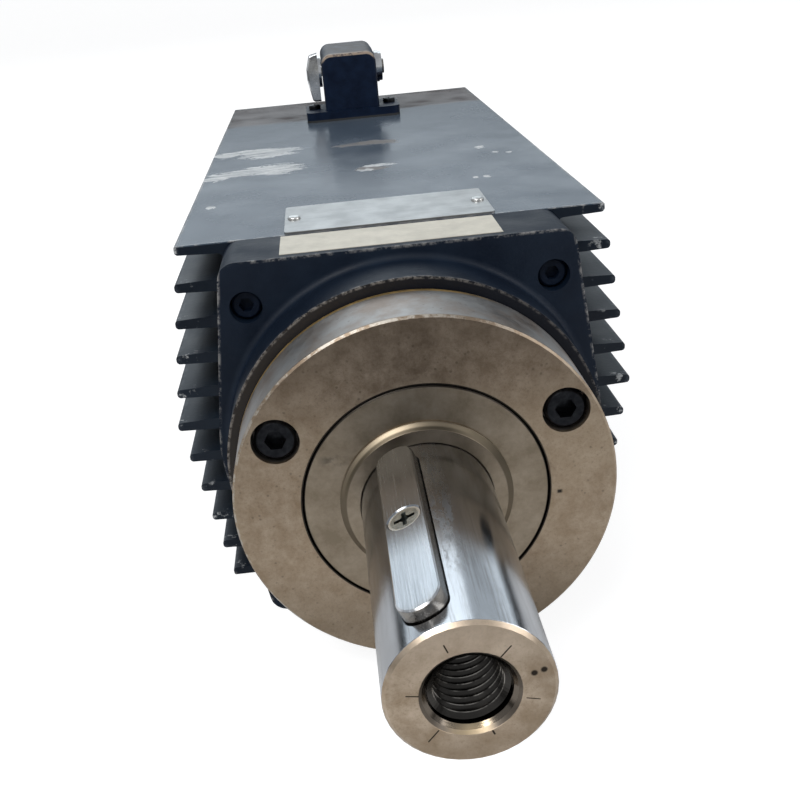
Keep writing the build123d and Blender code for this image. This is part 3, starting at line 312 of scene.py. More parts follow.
housing = Finish("housing_enamel", roughness=0.38, specular=0.22)
patches = housing.cloud(0.03, detail=6)
across = housing.sum("ABSOLUTE", housing.x)
rise = housing.sum("ABSOLUTE", housing.z)
on_top = housing.sum("GREATER_THAN", housing.z, plate_z - 0.0004)
chips = housing.cloud(0.004, detail=8, roughness=0.7)
# The fins reach furthest at mid height. Their tips are worn along the last 2 mm, and chipped near the
# front.
past_tip = housing.sum("SUBTRACT", across, housing.span(rise, 0.0, plate_z, fin_reach, plate_side))
tip_wear = housing.all_of(housing.span(past_tip, -0.0022, -0.0004), housing.span(chips, 0.42, 0.6))
tip_chips = housing.all_of(housing.span(past_tip, -0.009, -0.002), housing.span(chips, 0.57, 0.62),
                           housing.span(housing.y, plate_front + 0.006, plate_front + 0.003),
                           housing.sum("SUBTRACT", 1.0, on_top))
# The plate's long edges and its front edge are rubbed to bare metal in places.
edge_rub = housing.span(housing.cloud(0.006, detail=8, stretch=(1, 4, 1), roughness=0.75), 0.44, 0.6)
edge_wear = housing.all_of(housing.span(across, plate_side - 0.0013, plate_side - 0.0002),
                           housing.span(rise, plate_z - 0.0023, plate_z - 0.0003), edge_rub)
front_wear = housing.all_of(on_top, housing.span(housing.y, plate_front + 0.0016, plate_front + 0.0004),
                            housing.span(chips, 0.46, 0.60))
# Two pale smears and a few chips lie on the left of the top plate, small ones on its right, and brown
# rubbed patches in its middle.
flakes = housing.sum("ADD", housing.cloud(0.0065, detail=8, stretch=(3, 1, 1), roughness=0.68, seed=3),
                     housing.span(chips, 0.3, 0.7, -0.08, 0.08))
smears = blots(housing, flakes, (
    (-0.049, 0.218, 0.018, 0.014), (-0.069, 0.221, 0.009, 0.008), (-0.049, 0.171, 0.019, 0.014),
    (-0.068, 0.166, 0.010, 0.010), (0.004, 0.1576, 0.008, 0.004)))
paint_chips = blots(housing, chips, (
    (-0.0035, 0.150, 0.004, 0.003), (0.0521, 0.176, 0.0024, 0.0034), (0.0565, 0.1605, 0.0018, 0.0026),
    (0.0623, 0.1573, 0.0018, 0.0026), (0.0399, 0.1127, 0.0014, 0.0022), (0.0448, 0.1123, 0.0016, 0.0024),
    (-0.0680, 0.1060, 0.0026, 0.0032)))
scuffs = housing.all_of(on_top, housing.sum("MAXIMUM", smears, paint_chips))
speckle = housing.cloud(0.007, detail=10, roughness=0.8, seed=9)
specks = housing.all_of(on_top, housing.span(speckle, 0.665, 0.71))
rubbed = housing.all_of(on_top, blots(housing, housing.cloud(0.008, detail=6, stretch=(2, 1, 1), seed=5), (
    (0.001, 0.2155, 0.016, 0.008), (0.0, 0.154, 0.008, 0.006))))
# Behind a line that runs a little askew the plate is painted dark brown: a painted reflection of the dark
# room low behind the motor, which the glossy plate mirrors there.
ragged = housing.span(housing.cloud(0.02, detail=6, seed=12), 0.3, 0.7, -0.004, 0.004)
askew = housing.sum("SUBTRACT", housing.y, housing.sum("MULTIPLY", housing.x, 0.1))
back_line = housing.sum("ADD", askew, ragged)
dark_reflection_back = housing.all_of(on_top, housing.span(back_line, 0.313, 0.323))
deep_enamel = housing.shades(patches, 0.35, 0.7, (0.004, 0.008, 0.015), (0.009, 0.016, 0.027))
# The top plate is painted a lighter grey-blue than the fins: a painted sheen of the sky the glossy plate
# mirrors.
plate_sheen_tone = housing.shades(housing.cloud(0.05, detail=7, stretch=(1, 2, 1)), 0.35, 0.65,
                              (0.055, 0.076, 0.104), (0.086, 0.111, 0.143))
dark_reflection_tone = housing.shades(patches, 0.35, 0.65, (0.082, 0.060, 0.054), (0.115, 0.088, 0.078))
streaks = housing.cloud(0.0035, detail=8, stretch=(5, 1, 1), roughness=0.8, seed=15)
smear_white = housing.shades(streaks, 0.40, 0.60, (0.33, 0.36, 0.38), (0.86, 0.87, 0.86))
enamel = housing.layers(
    deep_enamel, (plate_sheen_tone, on_top, 1.0), (dark_reflection_tone, dark_reflection_back, 0.95), ((0.19, 0.165, 0.145), rubbed, 0.7),
    ((0.06, 0.07, 0.085), tip_wear, 1.0), ((0.42, 0.41, 0.40), edge_wear, 1.0),
    ((0.30, 0.30, 0.30), front_wear, 1.0), (smear_white, scuffs, 0.85), ((0.42, 0.43, 0.43), tip_chips, 1.0),
    ((0.34, 0.34, 0.34), specks, 1.0))
cast_skin = housing.sum("SUBTRACT", housing.sum("SUBTRACT", 1.0, housing.sum("MULTIPLY", on_top, 0.6)),
                        housing.sum("MULTIPLY", dark_reflection_back, 0.4))
housing_skin = housing.relief(housing.cloud(0.0018, detail=3), 0.00005, strength=cast_skin)
gloss = housing.span(patches, 0.3, 0.7, 0.32, 0.46)
for share, less in ((on_top, 0.16), (dark_reflection_back, 0.09)):
    gloss = housing.sum("SUBTRACT", gloss, housing.sum("MULTIPLY", share, less))
gloss = housing.sum("ADD", gloss, housing.sum("MULTIPLY", housing.sum("MAXIMUM", scuffs, rubbed), 0.25))
dress(housing.wear(colour=enamel, roughness=gloss, normal=housing_skin), "stator_housing")

# The end shields are rougher iron castings in the same enamel, milled on the faces that meet the housing.
# The front one has a line of bare metal along its front edge, and a round boss whose end face is bare and
# whose lip is rubbed.
boss_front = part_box("front_end_shield")[0][1]
boss_length = 0.0197
boss_lip = 0.0640
shield_half_height = 0.0691
shield_side_middle = 0.0692
shield_side_top = 0.0590
shield_face = boss_front + boss_length
shield = Finish("shield_enamel", roughness=0.5, specular=0.2)
sand = shield.cloud(0.0035, detail=5, roughness=0.6)
grime = shield.cloud(0.02, detail=6)
rub = shield.span(shield.cloud(0.003, detail=8, roughness=0.8, seed=2), 0.47, 0.60)
shield_rise = shield.sum("ABSOLUTE", shield.z)
side_reach = shield.span(shield_rise, 0.0, shield_half_height, shield_side_middle, shield_side_top)
side_gap = shield.sum("SUBTRACT", side_reach, shield.sum("ABSOLUTE", shield.x))
end_gap = shield.sum("SUBTRACT", shield_half_height, shield_rise)
front_edge = shield.all_of(shield.span(shield.sum("MINIMUM", side_gap, end_gap), 0.0011, 0.0002),
                           shield.span(shield.y, shield_face + 0.0014, shield_face + 0.0002), rub)
lip_edge = shield.all_of(shield.span(shield.radius(), boss_lip - 0.0006, boss_lip),
                         shield.span(shield.y, boss_front + 0.0016, boss_front + 0.0004),
                         shield.span(rub, 0.0, 0.6))
boss_end = shield.sum("LESS_THAN", shield.y, boss_front + 0.0003)
# The bare end face is lighter on the left and near black to the right, and the lip's rubbed edge is strongest
# on the left.
bare_iron = shield.shades(shield.x, -0.050, 0.010, (0.034, 0.028, 0.023), (0.006, 0.006, 0.008))
iron = shield.layers(
    shield.shades(grime, 0.35, 0.7, (0.003, 0.007, 0.016), (0.006, 0.013, 0.026)),
    ((0.30, 0.29, 0.28), front_edge, 0.8), (bare_iron, boss_end, 0.8),
    ((0.26, 0.24, 0.22), lip_edge, shield.span(shield.x, -0.010, 0.040, 0.75, 0.30)))
shield_skin = shield.relief(sand, 0.00022, strength=0.8)
dress(shield.wear(colour=iron, roughness=shield.span(grime, 0.3, 0.7, 0.38, 0.58), normal=shield_skin),
      "front_end_shield", "rear_end_shield", "rear_cover")

# The bearing cover is a fine-turned steel ring, browned and pitted by handling, with bright broken edges
# whose brightness, partly a painted highlight, fades to the right, a rust tint round its side and a painted
# golden highlight along its rear edge, except on the right.
ring_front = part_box("bearing_cover")[0][1]
ring_rim = 0.0610
ring_bore = 0.0394
ring = Finish("ring_steel", roughness=0.42, metallic=1.0)
ring_r = ring.radius()
mottle = ring.cloud(0.006, detail=9, roughness=0.72)
clouding = ring.cloud(0.035, detail=5)
grain = ring.span(ring.cloud(0.0010, detail=6, roughness=0.8, seed=17), 0.50, 0.68, 0.0, 0.45)
rust = ring.shades(ring.cloud(0.016, detail=7, roughness=0.65, seed=4), 0.42, 0.62,
                   (0.37, 0.36, 0.35), (0.30, 0.25, 0.215))
on_side = ring.span(ring.y, ring_front + 0.001, ring_front + 0.0016)
painted_rear_edge_highlight = ring.all_of(ring.span(ring.y, -0.0022, -0.0014),
                     ring.span(ring_r, ring_rim - 0.0007, ring_rim - 0.0003), ring.span(ring.x, 0.03, 0.015))
ring_edge_band = ring.all_of(ring.span(ring_r, ring_rim - 0.0009, ring_rim - 0.0007),
                          ring.sum("GREATER_THAN", ring.y, ring_front + 0.00005),
                          ring.span(ring.y, ring_front + 0.0011, ring_front + 0.0006))
ring_edge_band = ring.all_of(ring_edge_band, ring.span(ring.x, 0.036, 0.0, 0.15, 1.0))
bright_edge_and_highlight = ring.all_of(ring_edge_band, ring.span(mottle, 0.46, 0.54))
dots = ring.add("ShaderNodeTexVoronoi", Vector=ring.place, Scale=420)
pits = ring.all_of(ring.span(dots.outputs["Distance"], 0.22, 0.12),
                   ring.span(ring.cloud(0.008, detail=4, seed=7), 0.50, 0.58))
# One small dent and a brown smudge above it lie on the right of the face.
dent = ring.all_of(ring.near(ring.x, 0.0424, 0.0011), ring.near(ring.z, -0.0025, 0.0009))
smudge = ring.all_of(ring.near(ring.x, 0.0400, 0.0016), ring.near(ring.z, 0.0075, 0.0050),
                     ring.span(mottle, 0.44, 0.56))
ring_colour = ring.layers(
    ring.shades(mottle, 0.36, 0.66, (0.29, 0.215, 0.145), (0.47, 0.38, 0.285)),
    ((0.50, 0.40, 0.29), ring.span(clouding, 0.4, 0.65), 0.4), ((0.20, 0.15, 0.10), grain, 1.0),
    # Darker towards the top and the bottom of the face: painted shade for the dark floor and room it mirrors.
    ((0.13, 0.10, 0.08), ring.span(ring.z, 0.022, 0.052, 0.0, 0.45), 1.0),
    ((0.12, 0.10, 0.075), ring.span(ring.z, -0.020, -0.045, 0.0, 0.42), 1.0),
    (rust, on_side, 1.0), ((0.78, 0.54, 0.22), painted_rear_edge_highlight, 1.0), ((0.50, 0.46, 0.40), bright_edge_and_highlight, 1.0),
    # A thin dark band at the bore's edge: painted shade in the gap round the flinger.
    ((0.035, 0.030, 0.025), ring.span(ring_r, ring_bore + 0.0005, ring_bore + 0.0003), 1.0),
    ((0.10, 0.08, 0.06), pits, 0.40), ((0.04, 0.035, 0.03), dent, 1.0), ((0.17, 0.11, 0.075), smudge, 0.7))
ring_skin = ring.relief(ring.lines(ring_r, 2600.0), 0.000012)
ring_skin = ring.relief(pits, 0.00006, strength=-1.0, below=ring_skin)
dress(ring.wear(colour=ring_colour, roughness=ring.span(mottle, 0.3, 0.7, 0.36, 0.52), normal=ring_skin),
      "bearing_cover")

# The flinger disc runs in the ring's bore and throws coolant off before it reaches the seal. It is
# brownish turned steel, shrunk on the shaft by a hub, and the hub's chamfer carries a painted golden
# highlight at its upper left.
hub_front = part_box("flinger_disc")[0][1]
disc_rim = 0.0389
hub_rim = 0.0275
chamfer_inside = 0.0255
flinger = Finish("flinger_steel", roughness=0.4, metallic=1.0)
flinger_r = flinger.radius()
flinger_cloud = flinger.cloud(0.009, detail=8, roughness=0.7)
hub_shade = flinger.all_of(flinger.span(flinger_r, hub_rim - 0.0003, hub_rim - 0.0013),
                           flinger.span(flinger.z, 0.004, 0.020, 0.0, 0.3))
hub_chamfer = flinger.all_of(flinger.span(flinger_r, chamfer_inside - 0.0002, chamfer_inside + 0.0002),
                             flinger.span(flinger_r, hub_rim + 0.0002, hub_rim - 0.0001),
                             flinger.sum("LESS_THAN", flinger.y, hub_front + 0.0021))
# The chamfer is painted darker towards its top, most of all to the right: painted shade over the brighter sky
# it mirrors there.
chamfer_top_shade = flinger.shades(flinger.x, -0.016, 0.000, (0.11, 0.09, 0.063), (0.072, 0.060, 0.043))
chamfer_tone_and_shade = flinger.shades(flinger.z, -0.006, 0.018, (0.20, 0.165, 0.12), chamfer_top_shade)
painted_hub_highlight = flinger.all_of(flinger.near(flinger_r, 0.0269, 0.0007), flinger.span(flinger.z, 0.004, 0.018),
                             flinger.span(flinger.x, 0.016, -0.006))
stain = flinger.all_of(flinger.near(flinger.x, -0.0280, 0.0050), flinger.near(flinger.z, 0.0172, 0.0022),
                       flinger.span(flinger.cloud(0.003, detail=7, seed=3), 0.40, 0.55))
flinger_colour = flinger.layers(
    flinger.shades(flinger_cloud, 0.36, 0.66, (0.24, 0.195, 0.14), (0.36, 0.30, 0.23)),
    ((0.12, 0.10, 0.08), hub_shade, 1.0), (chamfer_tone_and_shade, hub_chamfer, 1.0),
    ((0.34, 0.28, 0.20), painted_hub_highlight, 1.0),
    # A thin dark band at the disc's rim: painted shade in the gap to the ring's bore.
    ((0.035, 0.030, 0.025), flinger.span(flinger_r, disc_rim - 0.0005, disc_rim - 0.0003), 1.0),
    ((0.10, 0.085, 0.07), stain, 0.6))
flinger_skin = flinger.relief(flinger.lines(flinger_r, 2200.0), 0.000012)
dress(flinger.wear(colour=flinger_colour, normal=flinger_skin), "flinger_disc")

# The shaft is ground steel with a brown haze on top and a strip beside the key worn rough by hubs. Its
# end face is browned and carries scribed index lines and two punch dots round the threaded hole.
shaft_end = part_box("shaft")[0][1]
hole_mouth = 0.0127
hole_depth = 0.05


def scribed(finish, start, stop, width):
    """1 on a straight line between two (x, z) places seen along the shaft axis, 0 beyond half its width. The
    gap to it is the slanting length of two parts: how far a point is beside it, and how far past its ends."""
    (x0, z0), (x1, z1) = start, stop
    length = math.hypot(x1 - x0, z1 - z0)
    ux, uz = ((x1 - x0) / length, (z1 - z0) / length) if length else (1.0, 0.0)
    off_x = finish.sum("SUBTRACT", finish.x, x0)
    off_z = finish.sum("SUBTRACT", finish.z, z0)
    ahead = finish.sum("ADD", finish.sum("MULTIPLY", off_x, ux), finish.sum("MULTIPLY", off_z, uz))
    beside = finish.sum("SUBTRACT", finish.sum("MULTIPLY", off_z, ux), finish.sum("MULTIPLY", off_x, uz))
    on_line = finish.sum("MINIMUM", finish.sum("MAXIMUM", ahead, 0.0), length)
    gap = finish.length(beside, finish.sum("SUBTRACT", ahead, on_line))
    return finish.span(gap, width, width * 0.6)


shaft = Finish("shaft_steel", roughness=0.26, metallic=1.0)
grinding = shaft.lines(shaft.y, 2400.0, detail=3.0)
shaft_cloud = shaft.cloud(0.012, detail=7, stretch=(1, 3, 1), roughness=0.65)
haze_cloud = shaft.cloud(0.007, detail=7, stretch=(1, 2.5, 1), roughness=0.7, seed=6)
haze = shaft.all_of(shaft.span(shaft.y, -0.062, -0.040), shaft.sum("GREATER_THAN", shaft.z, 0.008),
                    shaft.span(haze_cloud, 0.42, 0.6))
worn = shaft.cloud(0.0022, detail=10, stretch=(1, 4, 1), roughness=0.85, seed=13)
worn_strip = shaft.all_of(shaft.near(shaft.x, 0.0006, 0.0045), shaft.sum("GREATER_THAN", shaft.z, 0.018),
                          shaft.span(shaft.y, -0.100, -0.086), shaft.span(worn, 0.46, 0.56))
fine_scores = shaft.cloud(0.0009, detail=6, stretch=(1, 30, 1), roughness=0.7, seed=21)
scores = shaft.all_of(shaft.span(fine_scores, 0.50, 0.68), shaft.sum("GREATER_THAN", shaft.z, 0.0))
shaft_colour = shaft.layers(
    shaft.shades(shaft_cloud, 0.35, 0.65, (0.46, 0.47, 0.49), (0.62, 0.64, 0.67)),
    ((0.30, 0.22, 0.15), haze, 0.45), ((0.17, 0.16, 0.15), worn_strip, 0.65),
    # Darker towards the ring: a painted reflection of the ring's dark face.
    ((0.24, 0.265, 0.30), shaft.span(shaft.y, -0.086, -0.066, 0.0, 0.55), 1.0),
    ((0.24, 0.235, 0.23), scores, 0.5))
# The end face is lighter above the hole and browner below it and to its right.
end_face = shaft.sum("LESS_THAN", shaft.y, shaft_end + 0.0009)
face_cloud = shaft.cloud(0.007, detail=8, roughness=0.7, seed=8)
face_grain = shaft.span(shaft.cloud(0.0009, detail=6, roughness=0.8, seed=17), 0.52, 0.68, 0.0, 0.5)
marks = None
for start, stop, width in (
        ((-0.0151, 0.0018), (-0.0121, 0.0013), 0.00022), ((-0.0055, 0.0152), (-0.0047, 0.0131), 0.00022),
        ((0.0074, 0.0101), (0.0098, 0.0129), 0.00022), ((0.0131, -0.0029), (0.0162, -0.0037), 0.00018),
        ((0.0047, -0.0118), (0.0051, -0.0128), 0.00030), ((-0.0082, -0.0097), (-0.0108, -0.0128), 0.00022),
        ((0.0150, 0.0043), (0.0150, 0.0043), 0.00100), ((0.0173, 0.0050), (0.0173, 0.0050), 0.00100)):
    line = scribed(shaft, start, stop, width)
    marks = line if marks is None else shaft.sum("MAXIMUM", marks, line)
face_colour = shaft.layers(
    shaft.shades(face_cloud, 0.36, 0.64, (0.38, 0.29, 0.20), (0.59, 0.48, 0.37)),
    ((0.22, 0.165, 0.11), face_grain, 1.0),
    ((0.20, 0.15, 0.10), shaft.span(shaft.z, -0.004, -0.016, 0.0, 0.48), 1.0),
    ((0.20, 0.15, 0.10), shaft.span(shaft.x, 0.008, 0.018, 0.0, 0.30), 1.0),
    ((0.78, 0.65, 0.52), shaft.span(shaft.z, 0.004, 0.016, 0.0, 0.35), 1.0),
    ((0.035, 0.028, 0.022), marks, 1.0))
# The hole's countersink is grey-brown and its walls beyond are painted darker, a painted shade; a painted
# glint lies at the bottom of its mouth.
in_hole = shaft.all_of(shaft.sum("LESS_THAN", shaft.radius(), hole_mouth),
                       shaft.sum("GREATER_THAN", shaft.y, shaft_end + 0.0001),
                       shaft.sum("LESS_THAN", shaft.y, shaft_end + hole_depth))
hole_tone_and_shade = shaft.shades(shaft.y, shaft_end + 0.0018, shaft_end + 0.0022,
                          (0.16, 0.135, 0.11), (0.09, 0.08, 0.068))
off_middle = shaft.sum("ABSOLUTE", shaft.sum("ADD", shaft.x, 0.0005))
glint = shaft.all_of(in_hole, shaft.span(off_middle, 0.0065, 0.0005), shaft.span(shaft.z, -0.0080, -0.0112),
                     shaft.sum("LESS_THAN", shaft.y, shaft_end + 0.0019))
shaft_colour = shaft.layers(shaft_colour, (face_colour, end_face, 1.0), (hole_tone_and_shade, in_hole, 1.0),
                            ((0.72, 0.56, 0.36), glint, 1.0))
shaft_skin = shaft.relief(grinding, 0.000010)
shaft_gloss = shaft.sum("ADD", shaft.span(shaft_cloud, 0.3, 0.7, 0.13, 0.21),
                        shaft.sum("MULTIPLY", shaft.sum("MAXIMUM", worn_strip, end_face), 0.2))
dress(shaft.wear(colour=shaft_colour, roughness=shaft_gloss, normal=shaft_skin), "shaft")

# Inside the hole the M20 thread is cut with a 2.5 mm pitch: its flanks stand up to the minor diameter.
# The shaft's own solid has a plain hole at the major diameter, and these turns stand in it.
thread_pitch = 0.0025
thread_from = shaft_end + 0.0024
thread_turns = 14
steps_per_turn = 64
thread_root = 0.0101
thread_crest = 0.00865
# A point at turn t lies at angle 2 pi t and depth thread_from + pitch * t; the section is a triangle
# whose crest reaches in to 8.65 mm and whose back lies 0.1 mm outside the hole's wall, shrinking to
# nothing at both ends.
turn = np.linspace(0, thread_turns, thread_turns * steps_per_turn + 1)
swell = np.clip(np.minimum(turn, thread_turns - turn) / 0.4, 0, 1)
section_r = np.array([thread_root, thread_root, thread_crest, thread_crest])
section_y = np.array([-0.00120, 0.00120, 0.00016, -0.00016])
turn_r = thread_root + (section_r[None, :] - thread_root) * swell[:, None]
turn_y = thread_from + thread_pitch * turn[:, None] + section_y[None, :] * swell[:, None]
turn_a = 2 * math.pi * turn[:, None]
turn_points = np.stack([turn_r * np.cos(turn_a), turn_y, turn_r * np.sin(turn_a)], axis=-1)
thread = surface("centre_thread_turns", turn_points, close_v=True, smooth=False)
thread_steel = Finish("thread_steel", roughness=0.24, metallic=1.0)
# The turns are painted near black, a painted shade for the deep hole, with painted glints on their crests.
painted_crest_glints = thread_steel.all_of(thread_steel.span(thread_steel.radius(), 0.00890, 0.0087),
                                   thread_steel.span(thread_steel.cloud(0.003, detail=5, seed=4), 0.42, 0.56))
thread_shade_and_glints = thread_steel.layers(
    thread_steel.blend(thread_steel.cloud(0.004, detail=5), (0.030, 0.028, 0.026), (0.075, 0.070, 0.064)),
    ((0.34, 0.32, 0.29), painted_crest_glints, 1.0))
thread.data.materials.append(thread_steel.wear(colour=thread_shade_and_glints))
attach(thread, "rotor")

# The parallel key is drawn steel bar with milled round ends, finely brushed along its length. It is painted
# darker towards the ring, a painted reflection of the ring's dark face. Its walls and the chamfer round its
# top show brown, partly unpolished steel and partly painted shade on faces turned from the light.
key_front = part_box("shaft_key")[0][1]
key_round = 0.006
key_chamfer_from = 0.00586
# The key leans 23.8 degrees to the left: the cosine and sine of that turn x and z into its own width and
# height.
key_cos, key_sin = 0.9150, 0.4035
key = Finish("key_steel", roughness=0.3, metallic=1.0)
strokes = key.cloud(0.0005, detail=5, stretch=(1, 40, 1), roughness=0.65)
key_across = key.sum("ADD", key.sum("MULTIPLY", key.x, key_cos), key.sum("MULTIPLY", key.z, key_sin))
past_round = key.sum("MINIMUM", key.sum("SUBTRACT", key.y, key_front + key_round), 0.0)
key_side_tone_and_shade = key.span(key.length(key_across, past_round), key_chamfer_from, key_chamfer_from + 0.00011)
key_end = key.all_of(key.span(key.y, -0.1075, -0.1115), key.span(key.cloud(0.004, detail=6), 0.35, 0.6))
key_colour = key.layers(
    key.shades(strokes, 0.35, 0.65, (0.52, 0.55, 0.58), (0.76, 0.79, 0.83)),
    ((0.21, 0.225, 0.245), key.span(key.y, -0.089, -0.074, 0.0, 0.72), 1.0),
    ((0.16, 0.14, 0.11), key_side_tone_and_shade, 0.75), ((0.36, 0.29, 0.21), key_end, 0.35))
dress(key.wear(colour=key_colour, roughness=key.span(strokes, 0.3, 0.7, 0.16, 0.30),
               normal=key.relief(strokes, 0.000012)), "shaft_key")

# One countersunk screw with a cross recess holds the key down. It is zinc plated steel with a painted
# highlight on its rim, and its recess, below 24 mm from the shaft axis along the key's height, is painted
# dark, a painted shade.
head_face = 0.0240
screw_rim = 0.0040
screw = Finish("screw_zinc", roughness=0.24, metallic=1.0)
screw_low, screw_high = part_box("key_screw")
screw_across = screw.sum("ADD", screw.sum("MULTIPLY", screw.x, key_cos),
                         screw.sum("MULTIPLY", screw.z, key_sin))
screw_along = screw.sum("SUBTRACT", screw.y, (screw_low[1] + screw_high[1]) / 2)
screw_height = screw.sum("SUBTRACT", screw.sum("MULTIPLY", screw.z, key_cos),
                         screw.sum("MULTIPLY", screw.x, key_sin))
from_middle = screw.length(screw_across, screw_along)
screw_tone = screw.layers(
    screw.shades(screw.cloud(0.0012, detail=6), 0.35, 0.65, (0.34, 0.37, 0.36), (0.62, 0.66, 0.63)),
    ((0.92, 0.93, 0.90), screw.span(from_middle, screw_rim, screw_rim + 0.0003), 1.0),
    ((0.16, 0.17, 0.16), screw.span(screw_height, head_face + 0.0003, head_face), 1.0))
dress(screw.wear(colour=screw_tone, normal=screw.relief(screw.cloud(0.0008), 0.00003)), "key_screw")

# The other fasteners come in three finishes: the nameplate's rivets and the inner plate's screws are zinc
# plated, the socket head screws and the circlip are black oxide steel with a little shine on their rims,
# and the shields' screws were painted over with the casting.
zinc = Finish("zinc_plate", roughness=0.3, metallic=1.0)
zinc_tone = zinc.shades(zinc.cloud(0.0015, detail=5), 0.35, 0.65, (0.50, 0.50, 0.48), (0.74, 0.74, 0.72))
dress(zinc.wear(colour=zinc_tone), "nameplate_rivets", "bearing_plate_screws")
oxide = Finish("black_oxide", roughness=0.36, metallic=1.0)
oxide_tone = oxide.shades(oxide.cloud(0.002, detail=6), 0.4, 0.7,
                          (0.016, 0.017, 0.020), (0.032, 0.034, 0.038))
dress(oxide.wear(colour=oxide_tone, normal=oxide.relief(oxide.cloud(0.0006), 0.00002)),
      "cover_screws", "rear_cover_screws", "rear_circlip", "connector_screws")
painted = Finish("painted_screws", roughness=0.5, specular=0.15)
paint_tone = painted.shades(painted.cloud(0.003, detail=6), 0.35, 0.7,
                            (0.002, 0.006, 0.016), (0.005, 0.011, 0.025))
dress(painted.wear(colour=paint_tone, normal=painted.relief(painted.cloud(0.0012), 0.00005)),
      "front_shield_screws", "rear_shield_screws")

# The nameplate is bare aluminium sheet with a brushed grain, held on the top plate by two rivets. The
# label on the end shield is cream plastic film with its own glue, dull from handling. Both stay blank.
plate = Finish("nameplate_aluminium", roughness=0.36, metallic=1.0)
plate_grain = plate.cloud(0.0006, detail=3, stretch=(40, 1, 1))
plate_tone = plate.shades(plate.cloud(0.012, detail=6), 0.35, 0.65, (0.34, 0.34, 0.335), (0.50, 0.50, 0.49))
dress(plate.wear(colour=plate_tone, roughness=plate.span(plate_grain, 0.3, 0.7, 0.30, 0.44),
                 normal=plate.relief(plate_grain, 0.000008)), "nameplate")
label = Finish("label_film", roughness=0.45)
label_tone = label.shades(label.cloud(0.009, detail=7, roughness=0.65), 0.35, 0.7,
                          (0.66, 0.62, 0.52), (0.50, 0.47, 0.39))
dress(label.wear(colour=label_tone), "blank_label")

# The connector housing is die-cast and enamelled. Its rounded upper front edge carries a brownish band,
# partly rubbed wear and partly painted highlight, and the sloping roof is scoured grey.
hood_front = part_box("connector_housing")[0][1]
roof_from = plate_z + 0.028
hood = Finish("connector_enamel", roughness=0.36, specular=0.18)
hood_cloud = hood.cloud(0.006, detail=7, roughness=0.65)
facing = hood.tree.nodes["Texture Coordinate"].outputs["Normal"]
facing_up = hood.add("ShaderNodeSeparateXYZ", Vector=facing).outputs["Z"]
upper = hood.sum("GREATER_THAN", hood.z, roof_from)
roof = hood.all_of(hood.span(facing_up, 0.80, 0.95), upper)
worn_band_and_highlight = hood.all_of(upper, hood.span(facing_up, 0.15, 0.35),
                        hood.span(hood.y, hood_front + 0.0085, hood_front + 0.0045),
                        hood.span(hood.cloud(0.003, detail=7, seed=2), 0.30, 0.48))
hood_tone = hood.layers(
    hood.shades(hood_cloud, 0.35, 0.7, (0.001, 0.005, 0.017), (0.003, 0.011, 0.032)),
    ((0.085, 0.074, 0.066), hood.all_of(roof, hood.span(hood_cloud, 0.3, 0.6)), 0.8),
    ((0.30, 0.235, 0.18), worn_band_and_highlight, 1.0))
dress(hood.wear(colour=hood_tone, roughness=hood.span(hood_cloud, 0.3, 0.7, 0.34, 0.52),
                normal=hood.relief(hood.cloud(0.0015), 0.00006)), "connector_housing")

# The locking lever is bent from steel strip and chrome plated, a little cloudy from handling. It swings
# on two plain steel pins pressed into the hood.
lever = Finish("lever_chrome", roughness=0.16, metallic=1.0)
lever_tone = lever.shades(lever.cloud(0.008, detail=4), 0.38, 0.62, (0.55, 0.56, 0.57), (0.88, 0.88, 0.88))
lever_gloss = lever.span(lever.cloud(0.004, detail=3, seed=3), 0.3, 0.7, 0.08, 0.18)
dress(lever.wear(colour=lever_tone, roughness=lever_gloss), "locking_lever")
pins = Finish("pin_steel", roughness=0.34, metallic=1.0)
dress(pins.wear(colour=pins.blend(pins.cloud(0.002, detail=5), (0.16, 0.145, 0.13), (0.34, 0.32, 0.30))),
      "lever_pins")

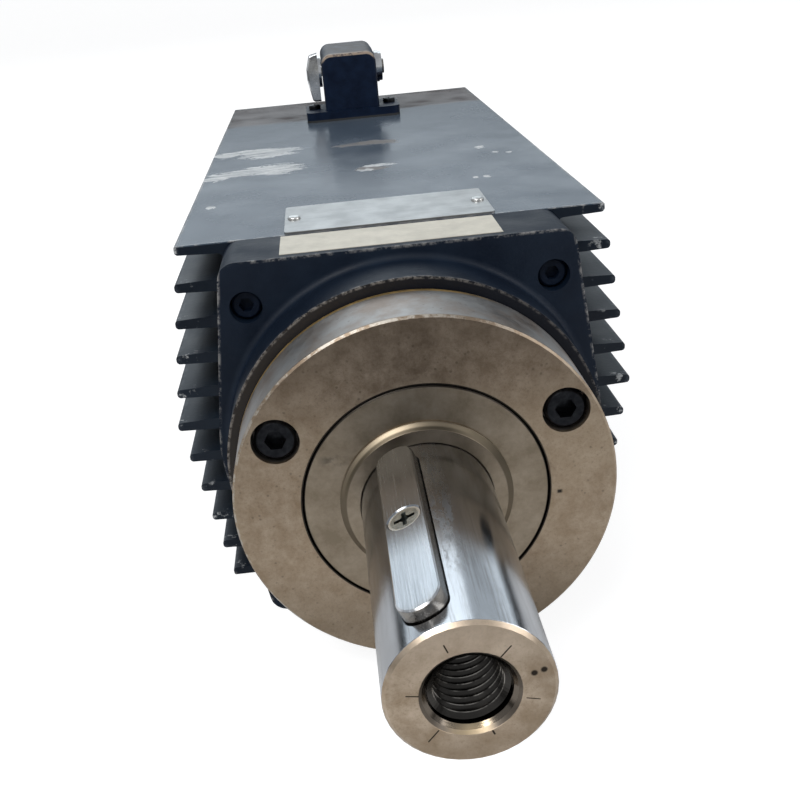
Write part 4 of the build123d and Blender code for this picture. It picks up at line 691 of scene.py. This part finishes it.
# The shaft seal's lips and the connector's gasket are moulded black rubber. The contact insert and the
# encoder's case are matt black plastic with a fine mould grain.
rubber = Finish("black_rubber", roughness=0.7)
dress(rubber.wear(colour=rubber.blend(rubber.cloud(0.003), (0.012, 0.012, 0.012), (0.030, 0.030, 0.031))),
      "shaft_seal", "connector_gasket")
moulded = Finish("black_plastic", roughness=0.55)
moulded_tone = moulded.blend(moulded.cloud(0.004), (0.016, 0.016, 0.018), (0.034, 0.034, 0.037))
dress(moulded.wear(colour=moulded_tone, normal=moulded.relief(moulded.cloud(0.0005), 0.00003)),
      "connector_insert", "encoder_body")

# Inside, where nothing shows while the motor is whole: ground bearing rings and balls, brass cages, spring,
# laminated cores, varnished copper coils, cast end rings and the encoder's seat.
ground = Finish("bearing_steel", roughness=0.22, metallic=1.0)
dress(ground.wear(colour=ground.blend(ground.cloud(0.004), (0.58, 0.58, 0.60), (0.70, 0.70, 0.72))),
      "front_bearing_inner_ring", "front_bearing_outer_ring", "front_bearing_balls",
      "rear_bearing_inner_ring", "rear_bearing_outer_ring", "rear_bearing_balls", "preload_spring")
brass = Finish("cage_brass", roughness=0.35, metallic=1.0)
dress(brass.wear(colour=brass.blend(brass.cloud(0.004), (0.60, 0.42, 0.18), (0.74, 0.55, 0.27))),
      "front_bearing_cage", "rear_bearing_cage")
sheets = Finish("core_sheets", roughness=0.45, metallic=1.0)
sheet_lines = sheets.lines(sheets.y, 1000.0, detail=1.0)
dress(sheets.wear(colour=sheets.blend(sheet_lines, (0.16, 0.155, 0.15), (0.32, 0.31, 0.30)),
                  normal=sheets.relief(sheet_lines, 0.0001)), "stator_core", "rotor_core")
copper = Finish("varnished_copper", roughness=0.3, metallic=0.8)
wires = copper.cloud(0.002, stretch=(1, 8, 1))
dress(copper.wear(colour=copper.blend(wires, (0.34, 0.12, 0.05), (0.52, 0.22, 0.10))), "stator_winding")
cast = Finish("bare_aluminium", roughness=0.4, metallic=1.0)
dress(cast.wear(colour=cast.blend(cast.cloud(0.003, detail=5), (0.52, 0.52, 0.53), (0.66, 0.66, 0.67))),
      "rotor_end_rings", "bearing_plate", "encoder_collar")
